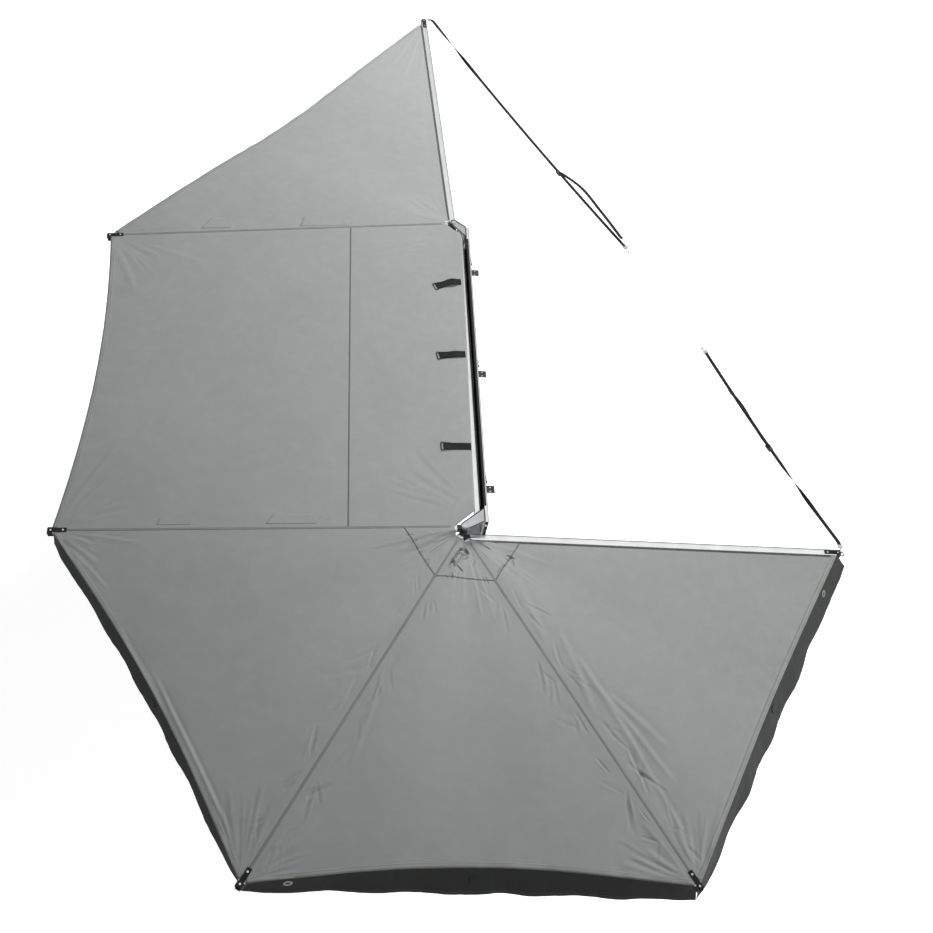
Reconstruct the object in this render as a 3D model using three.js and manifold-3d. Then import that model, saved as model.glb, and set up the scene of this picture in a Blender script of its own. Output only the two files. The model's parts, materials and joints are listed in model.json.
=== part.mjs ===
import * as THREE from 'three';
import { mergeVertices } from 'three/addons/utils/BufferGeometryUtils.js';
import Module from 'manifold-3d';

// A 270 degree vehicle side awning, opened out: six arms on two hub pins, carried by a rail.
// Millimetres. X points to the vehicle, Y forward, Z up. The origin is the centre of the
// underside of the middle bracket's foot, where it sits on a roof rack bar.

// Clearances and cutting overrun
const gap = 0.3;
const seam = 0.4;
const overrun = 5;

// Mounting brackets
const bracketThick = 6;
const footLength = 70;
const bracketWidth = 50;
const bracketHeight = 112;
const bracketSpacing = 900;
const footHoleRadius = 4.5;
const footHoleSpacing = 28;

// Back rail
const railHeight = 150;
const railDepth = 22;
const railDrop = 20;
const railEndInset = 35;
const railWall = 2.4;
const slotHeight = 105;
const slotMouth = 9;
const slotWidth = 17;
const slotDepth = 8;
const slotLip = 3;

// Bracket bolts
const boltRadius = 4;
const boltHeadThick = 5;
const boltHeadWidth = 15;
const boltNutRadius = 8;
const boltNutThick = 7;

// Hub places and the open angles of the arms, counter-clockwise from the vehicle side
const hubSpacing = 2492;
const rearHubReach = 146;
const frontHubReach = 104;
const armAngles = { arm_1: 182, arm_2: 239.5, arm_3: 298.5, arm_4: 358.5 };
const frontAngles = { front_side_arm: 187, front_arm: 93.5 };

// Arm tubes
const armLength = 2330;
const armWall = 2;
const trackDepth = 3;
const trackHeight = 4;
const trackDrop = 4.6;
const trackFloor = 1.4;
const armRoot = 46;
const levelGap = 3.2;
const stackInset = 2.2;

// Hub brackets, pins and knuckles
const pinRadius = 8;
const pinHeadRadius = 15;
const pinHeadThick = 6;
const bossRadius = 26;
const hubPlate = 5;
const hubWebThick = 10;
const hubWebLength = 90;
const knuckleRadius = 22;
const neckWidth = 28;
const tongueLength = 60;

// Arm tips
const tipThick = 30;
const cheekLength = 40;
const cheekThick = 5.6;
const pivotInset = 20;
const pivotRadius = 4;
const eyeLength = 26;
const eyeWidth = 28;
const eyeThick = 5;
const eyeBar = 5;

// Telescopic legs
const legWidth = 21;
const legWall = 1.2;
const legOuterLength = 1150;
const legInnerShort = 50;
const legHeadLength = 25;
const legRoom = 1.5;
const legSideRoom = 1.6;
const footThick = 10;

// Canopy beam and travel cover
const beamReach = 50;
const beamWidth = 32;
const beamHeight = 34;
const beamWall = 2.5;
const beamEndInset = 56;
const postThick = 15;
const spigotLength = 60;
const coverGap = 4;
const coverHeight = 108;
const coverCloth = 7;
const coverFold = 20;

// Canopy and valance
const clothThick = 1.2;
const canopyOverrun = 8;
const canopyStart = 62;
const canopySagDepth = 24;
const edgeDipDepths = { rear_left: 68, rear: 94, rear_right: 20, front: 55 };
const sideEdgeDipDepth = 74;
const armShoulder = 2.5;
const trackSeat = 7;
const cornerCut = 110;
const valanceDrop = 150;
const valanceFlareWidths = { rear_left: 10, rear: 20, rear_right: 85 };
const valanceSwellWidths = { rear_left: 24, rear: 76, rear_right: 26 };
const valanceWaveDepth = 11;
const valanceFolds = 5;

// Storage straps and their rings
const storagePlaces = { rear: -672, middle: 58, front: 690 };
const storageLength = 165;
const storageWidth = 50;
const storageThick = 2;
const ringWidth = 62;
const ringLength = 22;
const ringBar = 6;

// Guy straps and their hooks
const webbingWidth = 25;
const webbingThick = 2;
const hookWire = 3;
const hookGrip = 6.9;
const hookShank = 34;
const hookTail = 8;
const rearGuyEnd = [1530, 190, 105];
const frontGuyEnd = [1115, 1165, 60];
const frontGuySagDepth = 30;
const rearGuySagDepth = 25;
const guySteps = 24;

// Sizes and places worked out from those above
const armWeb = trackDrop + trackHeight + trackFloor;
const armHeight = legWidth + 2 * legRoom + armWeb;
const armWidth = legWidth + 2 * (legSideRoom + cheekThick + gap + armWall);
const railBack = -(footLength / 2 + gap);
const railFront = railBack - railDepth;
const railTop = railHeight - railDrop;
const railLength = hubSpacing - 2 * railEndInset;
const pitch = armHeight + levelGap;
const stackTop = railTop - stackInset;
const rearHub = new THREE.Vector2(railBack - rearHubReach, -hubSpacing / 2);
const frontHub = new THREE.Vector2(railBack - frontHubReach, hubSpacing / 2);
const levelTop = (level) => stackTop - level * pitch;
const levelMiddle = (level) => levelTop(level) - armHeight / 2;
const channelWidth = armWidth - 2 * armWall;
const channelTop = armHeight / 2 - armWeb;
const pivotX = armLength - pivotInset;
const legInnerLength = legOuterLength - legInnerShort;
const canopyReach = armLength + canopyOverrun;
const legMiddle = (channelTop - armHeight / 2) / 2;
const beamMiddle = railBack - beamReach - beamWidth / 2;
const clothFloor = stackTop + gap;
const toRadians = THREE.MathUtils.degToRad;

// Colours and finishes
const finishes = {
  aluminium: { color: 0xe4e6e8, roughness: 0.32, metalness: 1 },
  steel: { color: 0xb9bdc0, roughness: 0.38, metalness: 1 },
  blackSteel: { color: 0x1c1d1f, roughness: 0.55, metalness: 0.3 },
  blackPlastic: { color: 0x161718, roughness: 0.5, metalness: 0 },
  canopyCloth: { color: 0x8b8f90, roughness: 0.8, metalness: 0 },
  valanceCloth: { color: 0x3a3b3d, roughness: 0.85, metalness: 0 },
  coverCloth: { color: 0x151617, roughness: 0.6, metalness: 0 },
  webbing: { color: 0x19191a, roughness: 0.9, metalness: 0 },
};

const wasm = await Module();
wasm.setup();

// One named mesh with a material of its own
function piece(name, geometry, finish) {
  geometry.computeVertexNormals();
  const mesh = new THREE.Mesh(geometry, new THREE.MeshStandardMaterial(finishes[finish]));
  mesh.name = name;
  return mesh;
}

// Box between two opposite corners
function boxBetween([x0, y0, z0], [x1, y1, z1]) {
  const box = new THREE.BoxGeometry(x1 - x0, y1 - y0, z1 - z0);
  return box.translate((x0 + x1) / 2, (y0 + y1) / 2, (z0 + z1) / 2);
}

// Upright cylinder on (x, y) between two heights
function postBetween(radius, x, y, z0, z1, sides = 24) {
  const post = new THREE.CylinderGeometry(radius, radius, z1 - z0, sides);
  return post.rotateX(Math.PI / 2).translate(x, y, (z0 + z1) / 2);
}

// Outline extruded along an axis: the outline's two directions and the run are unit vectors
function extruded(points, length, across, up, holes = []) {
  const outline = points.map(([a, b]) => new THREE.Vector2(a, b));
  if (THREE.ShapeUtils.isClockWise(outline)) outline.reverse();
  const shape = new THREE.Shape(outline);
  for (const hole of holes) {
    shape.holes.push(new THREE.Path(hole.map(([a, b]) => new THREE.Vector2(a, b))));
  }
  const solid = new THREE.ExtrudeGeometry(shape, { depth: length, bevelEnabled: false });
  const run = new THREE.Vector3().crossVectors(across, up);
  return solid.applyMatrix4(new THREE.Matrix4().makeBasis(across, up, run));
}

const xAxis = new THREE.Vector3(1, 0, 0);
const yAxis = new THREE.Vector3(0, 1, 0);
const zAxis = new THREE.Vector3(0, 0, 1);

// Rectangle centred on a point, as an outline
function rectangle(width, height, a = 0, b = 0) {
  const [w, h] = [width / 2, height / 2];
  return [[a - w, b - h], [a + w, b - h], [a + w, b + h], [a - w, b + h]];
}

// Closed geometry to a solid that can be joined and cut
function solidOf(geometry) {
  const bare = geometry.clone();
  bare.deleteAttribute('normal');
  bare.deleteAttribute('uv');
  const merged = mergeVertices(bare, gap / 1000);
  const vertProperties = new Float32Array(merged.attributes.position.array);
  const triVerts = new Uint32Array(merged.index.array);
  return new wasm.Manifold(new wasm.Mesh({ numProp: 3, vertProperties, triVerts }));
}

// Solid back to a geometry
function geometryOf(solid) {
  const { vertProperties, triVerts } = solid.getMesh();
  const geometry = new THREE.BufferGeometry();
  geometry.setAttribute('position', new THREE.BufferAttribute(vertProperties, 3));
  geometry.setIndex(new THREE.BufferAttribute(triVerts, 1));
  return geometry;
}

// Join geometries, then cut others out of the result
function joined(parts, cuts = []) {
  let solid = parts.map(solidOf).reduce((sum, part) => sum.add(part));
  for (const cut of cuts) solid = solid.subtract(solidOf(cut));
  return geometryOf(solid);
}

// Closed solid between two equal grids of points, one on each face of a sheet
function sheetBetween(under, over) {
  const rows = under.length;
  const columns = under[0].length;
  const points = [...under.flat(), ...over.flat()];
  const index = [];
  const at = (face, row, column) => face * rows * columns + row * columns + column;
  const quad = (a, b, c, d) => index.push(a, b, c, a, c, d);
  for (let r = 0; r < rows - 1; r++) {
    for (let c = 0; c < columns - 1; c++) {
      quad(at(1, r, c), at(1, r, c + 1), at(1, r + 1, c + 1), at(1, r + 1, c));
      quad(at(0, r, c), at(0, r + 1, c), at(0, r + 1, c + 1), at(0, r, c + 1));
    }
    quad(at(0, r, 0), at(1, r, 0), at(1, r + 1, 0), at(0, r + 1, 0));
    const last = columns - 1;
    quad(at(0, r, last), at(0, r + 1, last), at(1, r + 1, last), at(1, r, last));
  }
  for (let c = 0; c < columns - 1; c++) {
    quad(at(0, 0, c), at(0, 0, c + 1), at(1, 0, c + 1), at(1, 0, c));
    const last = rows - 1;
    quad(at(0, last, c), at(1, last, c), at(1, last, c + 1), at(0, last, c + 1));
  }
  return outward(points, index);
}

// Indexed geometry whose faces point out, turned over if its volume comes out negative
function outward(points, index) {
  let volume = 0;
  for (let i = 0; i < index.length; i += 3) {
    const [a, b, c] = index.slice(i, i + 3).map((k) => new THREE.Vector3(...points[k]));
    volume += a.dot(b.cross(c));
  }
  if (volume < 0) index.reverse();
  const geometry = new THREE.BufferGeometry();
  const positions = new THREE.Float32BufferAttribute(points.flat(), 3);
  geometry.setAttribute('position', positions);
  geometry.setIndex(index);
  return geometry;
}

// Round wire along a smooth open path
function wireAlong(points, radius, steps) {
  const path = new THREE.CatmullRomCurve3(points.map((p) => new THREE.Vector3(...p)));
  const section = new THREE.Shape();
  section.absarc(0, 0, radius, 0, 2 * Math.PI);
  const options = { steps, extrudePath: path, bevelEnabled: false, curveSegments: 5 };
  return new THREE.ExtrudeGeometry(section, options);
}

// Flat webbing along a line of points, its width kept level
function webbingAlong(points, width, thick) {
  const line = points.map((p) => new THREE.Vector3(...p));
  const rings = line.map((point, i) => {
    const ahead = line[Math.min(i + 1, line.length - 1)];
    const behind = line[Math.max(i - 1, 0)];
    const along = ahead.clone().sub(behind).normalize();
    const side = along.clone().cross(zAxis).normalize();
    const up = side.clone().cross(along).normalize();
    const corner = (a, b) => point.clone()
      .addScaledVector(side, (a * width) / 2)
      .addScaledVector(up, (b * thick) / 2)
      .toArray();
    return { under: [corner(-1, -1), corner(1, -1)], over: [corner(-1, 1), corner(1, 1)] };
  });
  return sheetBetween(rings.map((r) => r.under), rings.map((r) => r.over));
}

// Smooth step from 0 to 1
const eased = (t) => {
  const k = THREE.MathUtils.clamp(t, 0, 1);
  return k * k * (3 - 2 * k);
};

// Back rail: a tall hollow extrusion with a T-slot for the bracket bolts
function backRail() {
  const inner = -(slotLip + slotDepth);
  const low = slotHeight - slotMouth / 2;
  const high = slotHeight + slotMouth / 2;
  const bottom = slotHeight - slotWidth / 2;
  const top = slotHeight + slotWidth / 2;
  const outline = [
    [0, 0], [0, low], [-slotLip, low], [-slotLip, bottom], [inner, bottom], [inner, top],
    [-slotLip, top], [-slotLip, high], [0, high], [0, railHeight],
    [-railDepth, railHeight], [-railDepth, 0],
  ];
  const rib = (bottom - railWall) / 2;
  const chamber = (z0, z1) => rectangle(
    railDepth - 2 * railWall, z1 - z0, -railDepth / 2, (z0 + z1) / 2);
  const chambers = [
    chamber(railWall, rib), chamber(rib + railWall, bottom - railWall),
    chamber(top + railWall, railHeight - railWall),
  ];
  const rail = extruded(outline, railLength, xAxis, zAxis, chambers);
  return piece('back_rail', rail.translate(railBack, railLength / 2, -railDrop), 'aluminium');
}

// Height of the T-slot's middle above the brackets' feet
const slotMiddle = slotHeight - railDrop;

// L-shaped bracket: a foot on the rack bar and a leg against the rail's back
function mountBracket(name, y) {
  const [back, front] = [-footLength / 2, footLength / 2];
  const leg = back + bracketThick;
  const outline = [
    [back, 0], [front, 0], [front, bracketThick], [leg, bracketThick],
    [leg, bracketHeight], [back, bracketHeight],
  ];
  const angle = extruded(outline, bracketWidth, xAxis, zAxis).translate(0, y + bracketWidth / 2, 0);
  const hole = crossPost(boltRadius + gap, back - overrun, leg + overrun, y, slotMiddle);
  const footX = (leg + front) / 2 + footHoleRadius;
  const footHoles = [-1, 1].map((side) => postBetween(
    footHoleRadius, footX, y + (side * footHoleSpacing) / 2, -overrun, bracketThick + overrun));
  return piece(name, joined([angle], [hole, ...footHoles]), 'blackSteel');
}

// Cylinder along X between two places
function crossPost(radius, x0, x1, y, z, sides = 16) {
  const post = new THREE.CylinderGeometry(radius, radius, x1 - x0, sides);
  return post.rotateZ(Math.PI / 2).translate((x0 + x1) / 2, y, z);
}

// Bolt with its head in the T-slot, its shank through the bracket and its nut outside
function bracketBolt(name, y) {
  const headFace = railBack - slotLip - gap;
  const nutFace = -footLength / 2 + bracketThick + gap;
  const half = boltHeadWidth / 2;
  const head = boxBetween(
    [headFace - boltHeadThick, y - half, slotMiddle - half], [headFace, y + half, slotMiddle + half]);
  const shankEnd = nutFace + boltNutThick + boltRadius;
  const shank = crossPost(boltRadius, headFace - boltHeadThick / 2, shankEnd, y, slotMiddle);
  const nut = crossPost(boltNutRadius, nutFace, nutFace + boltNutThick, y, slotMiddle, 6);
  return piece(name, joined([head, shank, nut]), 'steel');
}

// Points in order round their convex outline
function hullOf(points) {
  const sorted = [...points].sort((a, b) => a[0] - b[0] || a[1] - b[1]);
  const turn = (o, a, b) => (a[0] - o[0]) * (b[1] - o[1]) - (a[1] - o[1]) * (b[0] - o[0]);
  const half = (list) => {
    const chain = [];
    for (const p of list) {
      while (chain.length > 1 && turn(chain.at(-2), chain.at(-1), p) <= 0) chain.pop();
      chain.push(p);
    }
    chain.pop();
    return chain;
  };
  return [...half(sorted), ...half(sorted.reverse())];
}

// Bracket that carries a hub pin at one end of the rail, with a plate above and below the arms
function hubBracket(name, hub, levels, end) {
  const webBack = railFront - gap;
  const webFront = webBack - hubWebThick;
  const near = end * (railLength / 2 - hubWebLength);
  const far = (end * railLength) / 2;
  const boss = Array.from({ length: 20 }, (_, i) => {
    const turn = (2 * Math.PI * i) / 20;
    return [hub.x + bossRadius * Math.cos(turn), hub.y + bossRadius * Math.sin(turn)];
  });
  const outline = hullOf([...boss, [webBack, near], [webBack, far], [webFront, near]]);
  const topFace = stackTop + levelGap;
  const bottomFace = levelTop(levels - 1) - armHeight - gap;
  const plate = (z) => extruded(outline, hubPlate, xAxis, yAxis).translate(0, 0, z);
  const [y0, y1] = [Math.min(near, far), Math.max(near, far)];
  const [z0, z1] = [bottomFace - hubPlate / 2, topFace + hubPlate / 2];
  const web = boxBetween([webFront, y0, z0], [webBack, y1, z1]);
  const beamEnd = end * (hubSpacing / 2 - beamEndInset);
  const parts = [plate(topFace), plate(bottomFace - hubPlate), web, ...beamSeat(beamEnd, end, topFace)];
  const bore = postBetween(
    pinRadius + gap, hub.x, hub.y, bottomFace - hubPlate - overrun, topFace + hubPlate + overrun);
  return piece(name, joined(parts, [bore]), 'aluminium');
}

// Post at one end of the canopy beam and the spigot that fills the beam's bore
function beamSeat(beamEnd, end, topFace) {
  const z = stackTop - beamHeight / 2;
  const bore = [beamWidth / 2 - beamWall - gap, beamHeight / 2 - beamWall - gap];
  const ordered = (a, b) => [Math.min(a, b), Math.max(a, b)];
  const [y0, y1] = ordered(beamEnd + end * gap, beamEnd + end * postThick);
  const [y2, y3] = ordered(beamEnd - end * spigotLength, beamEnd + (end * postThick) / 2);
  const half = beamWidth / 2;
  return [
    boxBetween(
      [beamMiddle - half, y0, stackTop - beamHeight], [beamMiddle + half, y1, topFace + hubPlate / 2]),
    boxBetween([beamMiddle - bore[0], y2, z - bore[1]], [beamMiddle + bore[0], y3, z + bore[1]]),
  ];
}

// Hub pin with a head above the top plate and a nut below the bottom plate
function hubPin(name, hub, levels) {
  const top = stackTop + levelGap + hubPlate + gap;
  const bottom = levelTop(levels - 1) - armHeight - gap - hubPlate - gap;
  const profile = [
    [0, bottom - pinHeadThick], [pinHeadRadius, bottom - pinHeadThick], [pinHeadRadius, bottom],
    [pinRadius, bottom], [pinRadius, top], [pinHeadRadius, top],
    [pinHeadRadius, top + pinHeadThick], [0, top + pinHeadThick],
  ].map(([r, z]) => new THREE.Vector2(r, z));
  const pin = new THREE.LatheGeometry(profile, 20).rotateX(Math.PI / 2);
  return piece(name, pin.translate(hub.x, hub.y, 0), 'steel');
}

// Arm tube: an inverted channel under a hollow top with a sail track in one side
function armTube(name, trackSide) {
  const [w, h] = [armWidth / 2, armHeight / 2];
  const inner = channelWidth / 2;
  const trackTop = h - trackDrop;
  const trackLow = trackTop - trackHeight;
  const outline = [
    [-w, -h], [-inner, -h], [-inner, channelTop], [inner, channelTop], [inner, -h], [w, -h],
    [w, trackLow], [w - trackDepth, trackLow], [w - trackDepth, trackTop], [w, trackTop],
    [w, h], [-w, h],
  ].map(([a, b]) => [trackSide * a, b]);
  const cell = rectangle(
    armWidth - 2 * (trackDepth + armWall), armWeb - 2 * armWall, 0, channelTop + armWeb / 2);
  const tube = extruded(outline, armLength - armRoot, yAxis, zAxis, [cell]);
  return piece(`${name}_tube`, tube.translate(armRoot, 0, 0), 'aluminium');
}

// Knuckle: a ring on the hub pin, a neck and a tongue inside the arm tube
function armKnuckle(name) {
  const low = -armHeight / 2;
  const ring = postBetween(knuckleRadius, 0, 0, low, low + pitch - gap);
  const neck = boxBetween(
    [pinRadius + bracketThick, -neckWidth / 2, low], [armRoot - gap, neckWidth / 2, armHeight / 2]);
  const side = channelWidth / 2 - gap;
  const tongue = boxBetween(
    [knuckleRadius, -side, low], [armRoot + tongueLength, side, channelTop - gap]);
  const bore = postBetween(pinRadius + gap, 0, 0, low - overrun, low + pitch + overrun);
  return piece(`${name}_knuckle`, joined([ring, neck, tongue], [bore]), 'blackPlastic');
}

// Cylinder along the arm's own Y axis
function pivotPost(radius, halfLength, sides = 16) {
  const post = new THREE.CylinderGeometry(radius, radius, 2 * halfLength, sides);
  return post.translate(pivotX, 0, legMiddle);
}

// Solid end block beyond the tube
function tipBlock() {
  return boxBetween(
    [armLength + gap, -armWidth / 2, -armHeight / 2], [armLength + tipThick, armWidth / 2, armHeight / 2]);
}

// Tip of an arm with a leg: two cheeks in the channel with the leg's pivot pin between them
function legTip(name) {
  const outer = channelWidth / 2 - gap;
  const low = -armHeight / 2;
  const cheeks = [-1, 1].map((side) => {
    const [a, b] = [side * outer, side * (outer - cheekThick)];
    return boxBetween(
      [armLength - cheekLength, Math.min(a, b), low],
      [armLength + tipThick / 2, Math.max(a, b), channelTop - gap]);
  });
  const pin = pivotPost(pivotRadius, outer - cheekThick / 2);
  return piece(`${name}_tip`, joined([tipBlock(), ...cheeks, pin]), 'blackPlastic');
}

// Tip of an end arm: a plug in the channel and a flat eye for the guy strap's hook
function eyeTip(name) {
  const side = channelWidth / 2 - gap;
  const plug = boxBetween(
    [armLength - cheekLength, -side, -armHeight / 2], [armLength + tipThick / 2, side, channelTop - gap]);
  const start = armLength + tipThick - eyeBar;
  const eye = boxBetween(
    [start, -eyeWidth / 2, -eyeThick / 2], [armLength + tipThick + eyeLength, eyeWidth / 2, eyeThick / 2]);
  const hole = boxBetween(
    [armLength + tipThick, eyeBar - eyeWidth / 2, -eyeThick],
    [armLength + tipThick + eyeLength - eyeBar, eyeWidth / 2 - eyeBar, eyeThick]);
  return piece(`${name}_tip`, joined([tipBlock(), plug, eye], [hole]), 'blackPlastic');
}

// Leg's outer tube with a rounded head on the pivot
function legOuter(name) {
  const bore = legWidth - 2 * legWall;
  const tube = extruded(
    rectangle(legWidth, legWidth), legOuterLength, yAxis, zAxis, [rectangle(bore, bore)]);
  tube.translate(pivotX - legOuterLength, 0, legMiddle);
  const half = legWidth / 2;
  const head = boxBetween(
    [pivotX - legHeadLength, -half, legMiddle - half], [pivotX, half, legMiddle + half]);
  const round = pivotPost(half, half, 24);
  const hole = pivotPost(pivotRadius + gap, legWidth);
  return piece(`${name}_leg_outer`, joined([tube, head, round], [hole]), 'aluminium');
}

// Leg's inner tube with its foot, slid in
function legInner(name) {
  const width = legWidth - 2 * legWall - 2 * gap;
  const bore = width - 2 * legWall;
  const start = pivotX - legOuterLength;
  const tube = extruded(
    rectangle(width, width), legInnerLength, yAxis, zAxis, [rectangle(bore, bore)]);
  tube.translate(start - gap, 0, legMiddle);
  const half = legWidth / 2;
  const foot = boxBetween(
    [start - gap - footThick, -half, legMiddle - half], [start - gap, half, legMiddle + half]);
  return piece(`${name}_leg_inner`, joined([tube, foot]), 'aluminium');
}

// One arm at its level and open angle, with or without a leg
function arm(name, hub, level, angle, options) {
  const group = new THREE.Group();
  group.position.set(hub.x, hub.y, levelMiddle(level));
  group.rotation.z = toRadians(angle);
  group.add(armTube(name, options.trackSide), armKnuckle(name));
  if (options.leg) group.add(legTip(name), legOuter(name), legInner(name));
  else group.add(eyeTip(name));
  return group;
}

// Canopy beam: a hollow square extrusion along the canopy's inner edge
function canopyBeam() {
  const length = hubSpacing - 2 * beamEndInset;
  const hole = rectangle(beamWidth - 2 * beamWall, beamHeight - 2 * beamWall);
  const beam = extruded(rectangle(beamWidth, beamHeight), length, xAxis, zAxis, [hole]);
  const z = stackTop - beamHeight / 2;
  return piece('canopy_beam', beam.translate(beamMiddle, length / 2, z), 'aluminium');
}

// Travel cover, opened and folded down between the rail and the beam
function travelCover() {
  const right = railFront - gap;
  const left = beamMiddle + beamWidth / 2 + coverGap;
  const top = railTop - stackInset;
  const low = top - coverHeight;
  const outline = [
    [right, top], [right, low + coverFold], [right - coverCloth, low], [left + coverCloth, low],
    [left, low + coverFold], [left, top - coverFold], [left + coverCloth, top - coverCloth],
    [left + coverCloth, low + coverFold + coverCloth], [right - coverCloth, low + coverFold + coverCloth],
    [right - coverCloth, top],
  ];
  const length = railLength - 2 * (hubWebLength + coverFold);
  const cover = extruded(outline, length, xAxis, zAxis);
  return piece('travel_cover', cover.translate(0, length / 2, 0), 'coverCloth');
}

// Unit vector of a plan angle, and the one a quarter turn on
const heading = (turn) => new THREE.Vector2(Math.cos(turn), Math.sin(turn));
const sideways = (turn) => new THREE.Vector2(-Math.sin(turn), Math.cos(turn));

// Reach of the straight line between two arm tips, as a share of the reach along the arms
const chordShare = (span, u) => Math.cos(span / 2) / Math.cos(span * (u - 0.5));

// Bow that is 0 at both ends of an edge and 1 in its middle
const bow = (u) => 4 * u * (1 - u);

// Canopy panel between two arms of one hub. Each side is an angle, a height and the cloth's
// distance from that arm's axis. The cloth lies flat over each arm's width and falls from the
// higher arm to the lower one between them, with a little sag and an outer edge that dips in.
function sectorPanel(name, hub, from, to, dip) {
  const rings = 9;
  const under = Array.from({ length: rings + 1 }, (_, i) => sectorRow(hub, from, to, dip, i / rings));
  return piece(name, sheetBetween(under, raised(under)), 'canopyCloth');
}

// Points across a sector panel's underside, at a share of the way out to its edge
function sectorRow(hub, from, to, dip, out) {
  const span = to.angle - from.angle;
  const inside = 8;
  const shoulder = armWidth / 2 + armShoulder;
  const base = canopyStart + (canopyReach - canopyStart) * out ** 1.4;
  const turnOf = (distance) => Math.asin(distance / base);
  const first = turnOf(Math.max(from.offset, shoulder));
  const last = Math.abs(span) - turnOf(Math.max(to.offset, shoulder));
  const between = Array.from({ length: inside + 1 }, (_, j) => first + ((last - first) * j) / inside);
  const turns = [turnOf(from.offset), ...between, Math.abs(span) - turnOf(to.offset)];
  return turns.map((part) => {
    const u = part / Math.abs(span);
    const reach = base * (1 + (chordShare(span, u) - 1) * out ** 2) - dip * bow(u) * out ** 3;
    const plan = heading(from.angle + Math.sign(span) * part).multiplyScalar(reach).add(hub);
    const fall = eased((part - first) / (last - first));
    const sag = canopySagDepth * Math.sin(Math.PI * fall) ** 2 * out;
    return [plan.x, plan.y, from.height + (to.height - from.height) * fall - sag];
  });
}

// The same grid of points, one cloth thickness higher
const raised = (grid) => grid.map((row) => row.map(([x, y, z]) => [x, y, z + clothThick]));

// Canopy panel between the beam, arm 1 and the front side arm
function sidePanel() {
  const rearTurn = toRadians(armAngles.arm_1);
  const frontTurn = toRadians(frontAngles.front_side_arm);
  const rearPoint = (reach) => heading(rearTurn).multiplyScalar(reach).add(rearHub)
    .addScaledVector(sideways(rearTurn), -seam / 2);
  const frontPoint = (reach) => heading(frontTurn).multiplyScalar(reach).add(frontHub)
    .addScaledVector(sideways(frontTurn), seam / 2);
  const beamEnd = hubSpacing / 2 - cornerCut;
  const inner = [
    rearPoint(canopyStart), new THREE.Vector2(beamMiddle, -beamEnd),
    new THREE.Vector2(beamMiddle, beamEnd), frontPoint(canopyStart),
  ];
  const stops = [0, cornerCut / hubSpacing, 1 - cornerCut / hubSpacing, 1];
  const columns = [0, 0.01, stops[1], 0.12, 0.25, 0.38, 0.5, 0.62, 0.75, 0.88, stops[2], 0.99, 1];
  const rows = 8;
  const under = [];
  for (let i = 0; i <= rows; i++) {
    const out = (i / rows) ** 1.2;
    under.push(columns.map((t) => {
      const k = Math.min(2, Math.max(0, stops.findIndex((stop) => stop >= t) - 1));
      const share = (t - stops[k]) / (stops[k + 1] - stops[k]);
      const near = inner[k].clone().lerp(inner[k + 1], share);
      const dip = sideEdgeDipDepth * bow(t) * out ** 3;
      const far = rearPoint(canopyReach).lerp(frontPoint(canopyReach), t);
      const plan = near.lerp(far, out);
      const sag = canopySagDepth * Math.sin(Math.PI * t) ** 2 * Math.sin(Math.PI * 0.75 * out) ** 2;
      return [plan.x + dip, plan.y, clothFloor - sag];
    }));
  }
  return piece('canopy_side', sheetBetween(under, raised(under)), 'canopyCloth');
}

// Valance hanging from the outer edge of a rear panel, with waves that grow towards its hem
function valance(place, hub, from, to) {
  const edge = sectorRow(hub, from, to, edgeDipDepths[place], 1).slice(1, -1)
    .map((p) => new THREE.Vector3(...p));
  const splits = 6;
  const rows = 4;
  const top = edge.slice(0, -1).flatMap((point, i) => Array.from(
    { length: splits }, (_, j) => point.clone().lerp(edge[i + 1], j / splits)));
  top.push(edge.at(-1));
  const middle = new THREE.Vector3(hub.x, hub.y, 0);
  const grid = (shift) => Array.from({ length: rows + 1 }, (_, i) => {
    const down = i / rows;
    return top.map((point, j) => {
      const u = j / (top.length - 1);
      const out = point.clone().sub(middle).setZ(0).normalize();
      const wave = valanceWaveDepth * Math.sin(2 * Math.PI * valanceFolds * u) * down;
      const flare = (valanceFlareWidths[place] + valanceSwellWidths[place] * bow(u)) * down;
      const spot = point.clone().addScaledVector(out, seam + shift + flare + wave);
      return [spot.x, spot.y, point.z + clothThick - valanceDrop * down];
    });
  });
  return piece(`valance_${place}`, sheetBetween(grid(0), grid(clothThick)), 'valanceCloth');
}

// Strap that ties the folded arms, lying on the canopy beside the beam
function storageStrap(name, y) {
  const right = beamMiddle - beamWidth / 2 + armShoulder;
  const z = clothFloor + clothThick + gap;
  const strap = boxBetween(
    [right - storageLength, y - storageWidth / 2, z],
    [right, y + storageWidth / 2, z + storageThick]);
  return piece(name, strap, 'webbing');
}

// Rectangular ring at the free end of a storage strap
function storageRing(name, y) {
  const right = beamMiddle - beamWidth / 2 + armShoulder - storageLength - gap;
  const z = clothFloor + clothThick + gap;
  const ring = boxBetween(
    [right - ringLength, y - ringWidth / 2, z], [right, y + ringWidth / 2, z + ringBar]);
  const hole = boxBetween(
    [right - ringLength + ringBar, y + ringBar - ringWidth / 2, z - overrun],
    [right - ringBar, y + ringWidth / 2 - ringBar, z + ringBar + overrun]);
  return piece(name, joined([ring], [hole]), 'blackPlastic');
}

// Middle of the eye's side bar that a guy strap pulls on, and the way square to that bar
function eyeBarOf(hub, level, angle, pullSide) {
  const turn = toRadians(angle);
  const along = armLength + tipThick + (eyeLength - eyeBar) / 2;
  const aside = pullSide * (eyeWidth / 2 - eyeBar / 2);
  const plan = heading(turn).multiplyScalar(along).add(hub).addScaledVector(sideways(turn), aside);
  const square = sideways(turn).multiplyScalar(pullSide);
  return {
    point: new THREE.Vector3(plan.x, plan.y, levelMiddle(level)),
    square: new THREE.Vector3(square.x, square.y, 0),
  };
}

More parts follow.
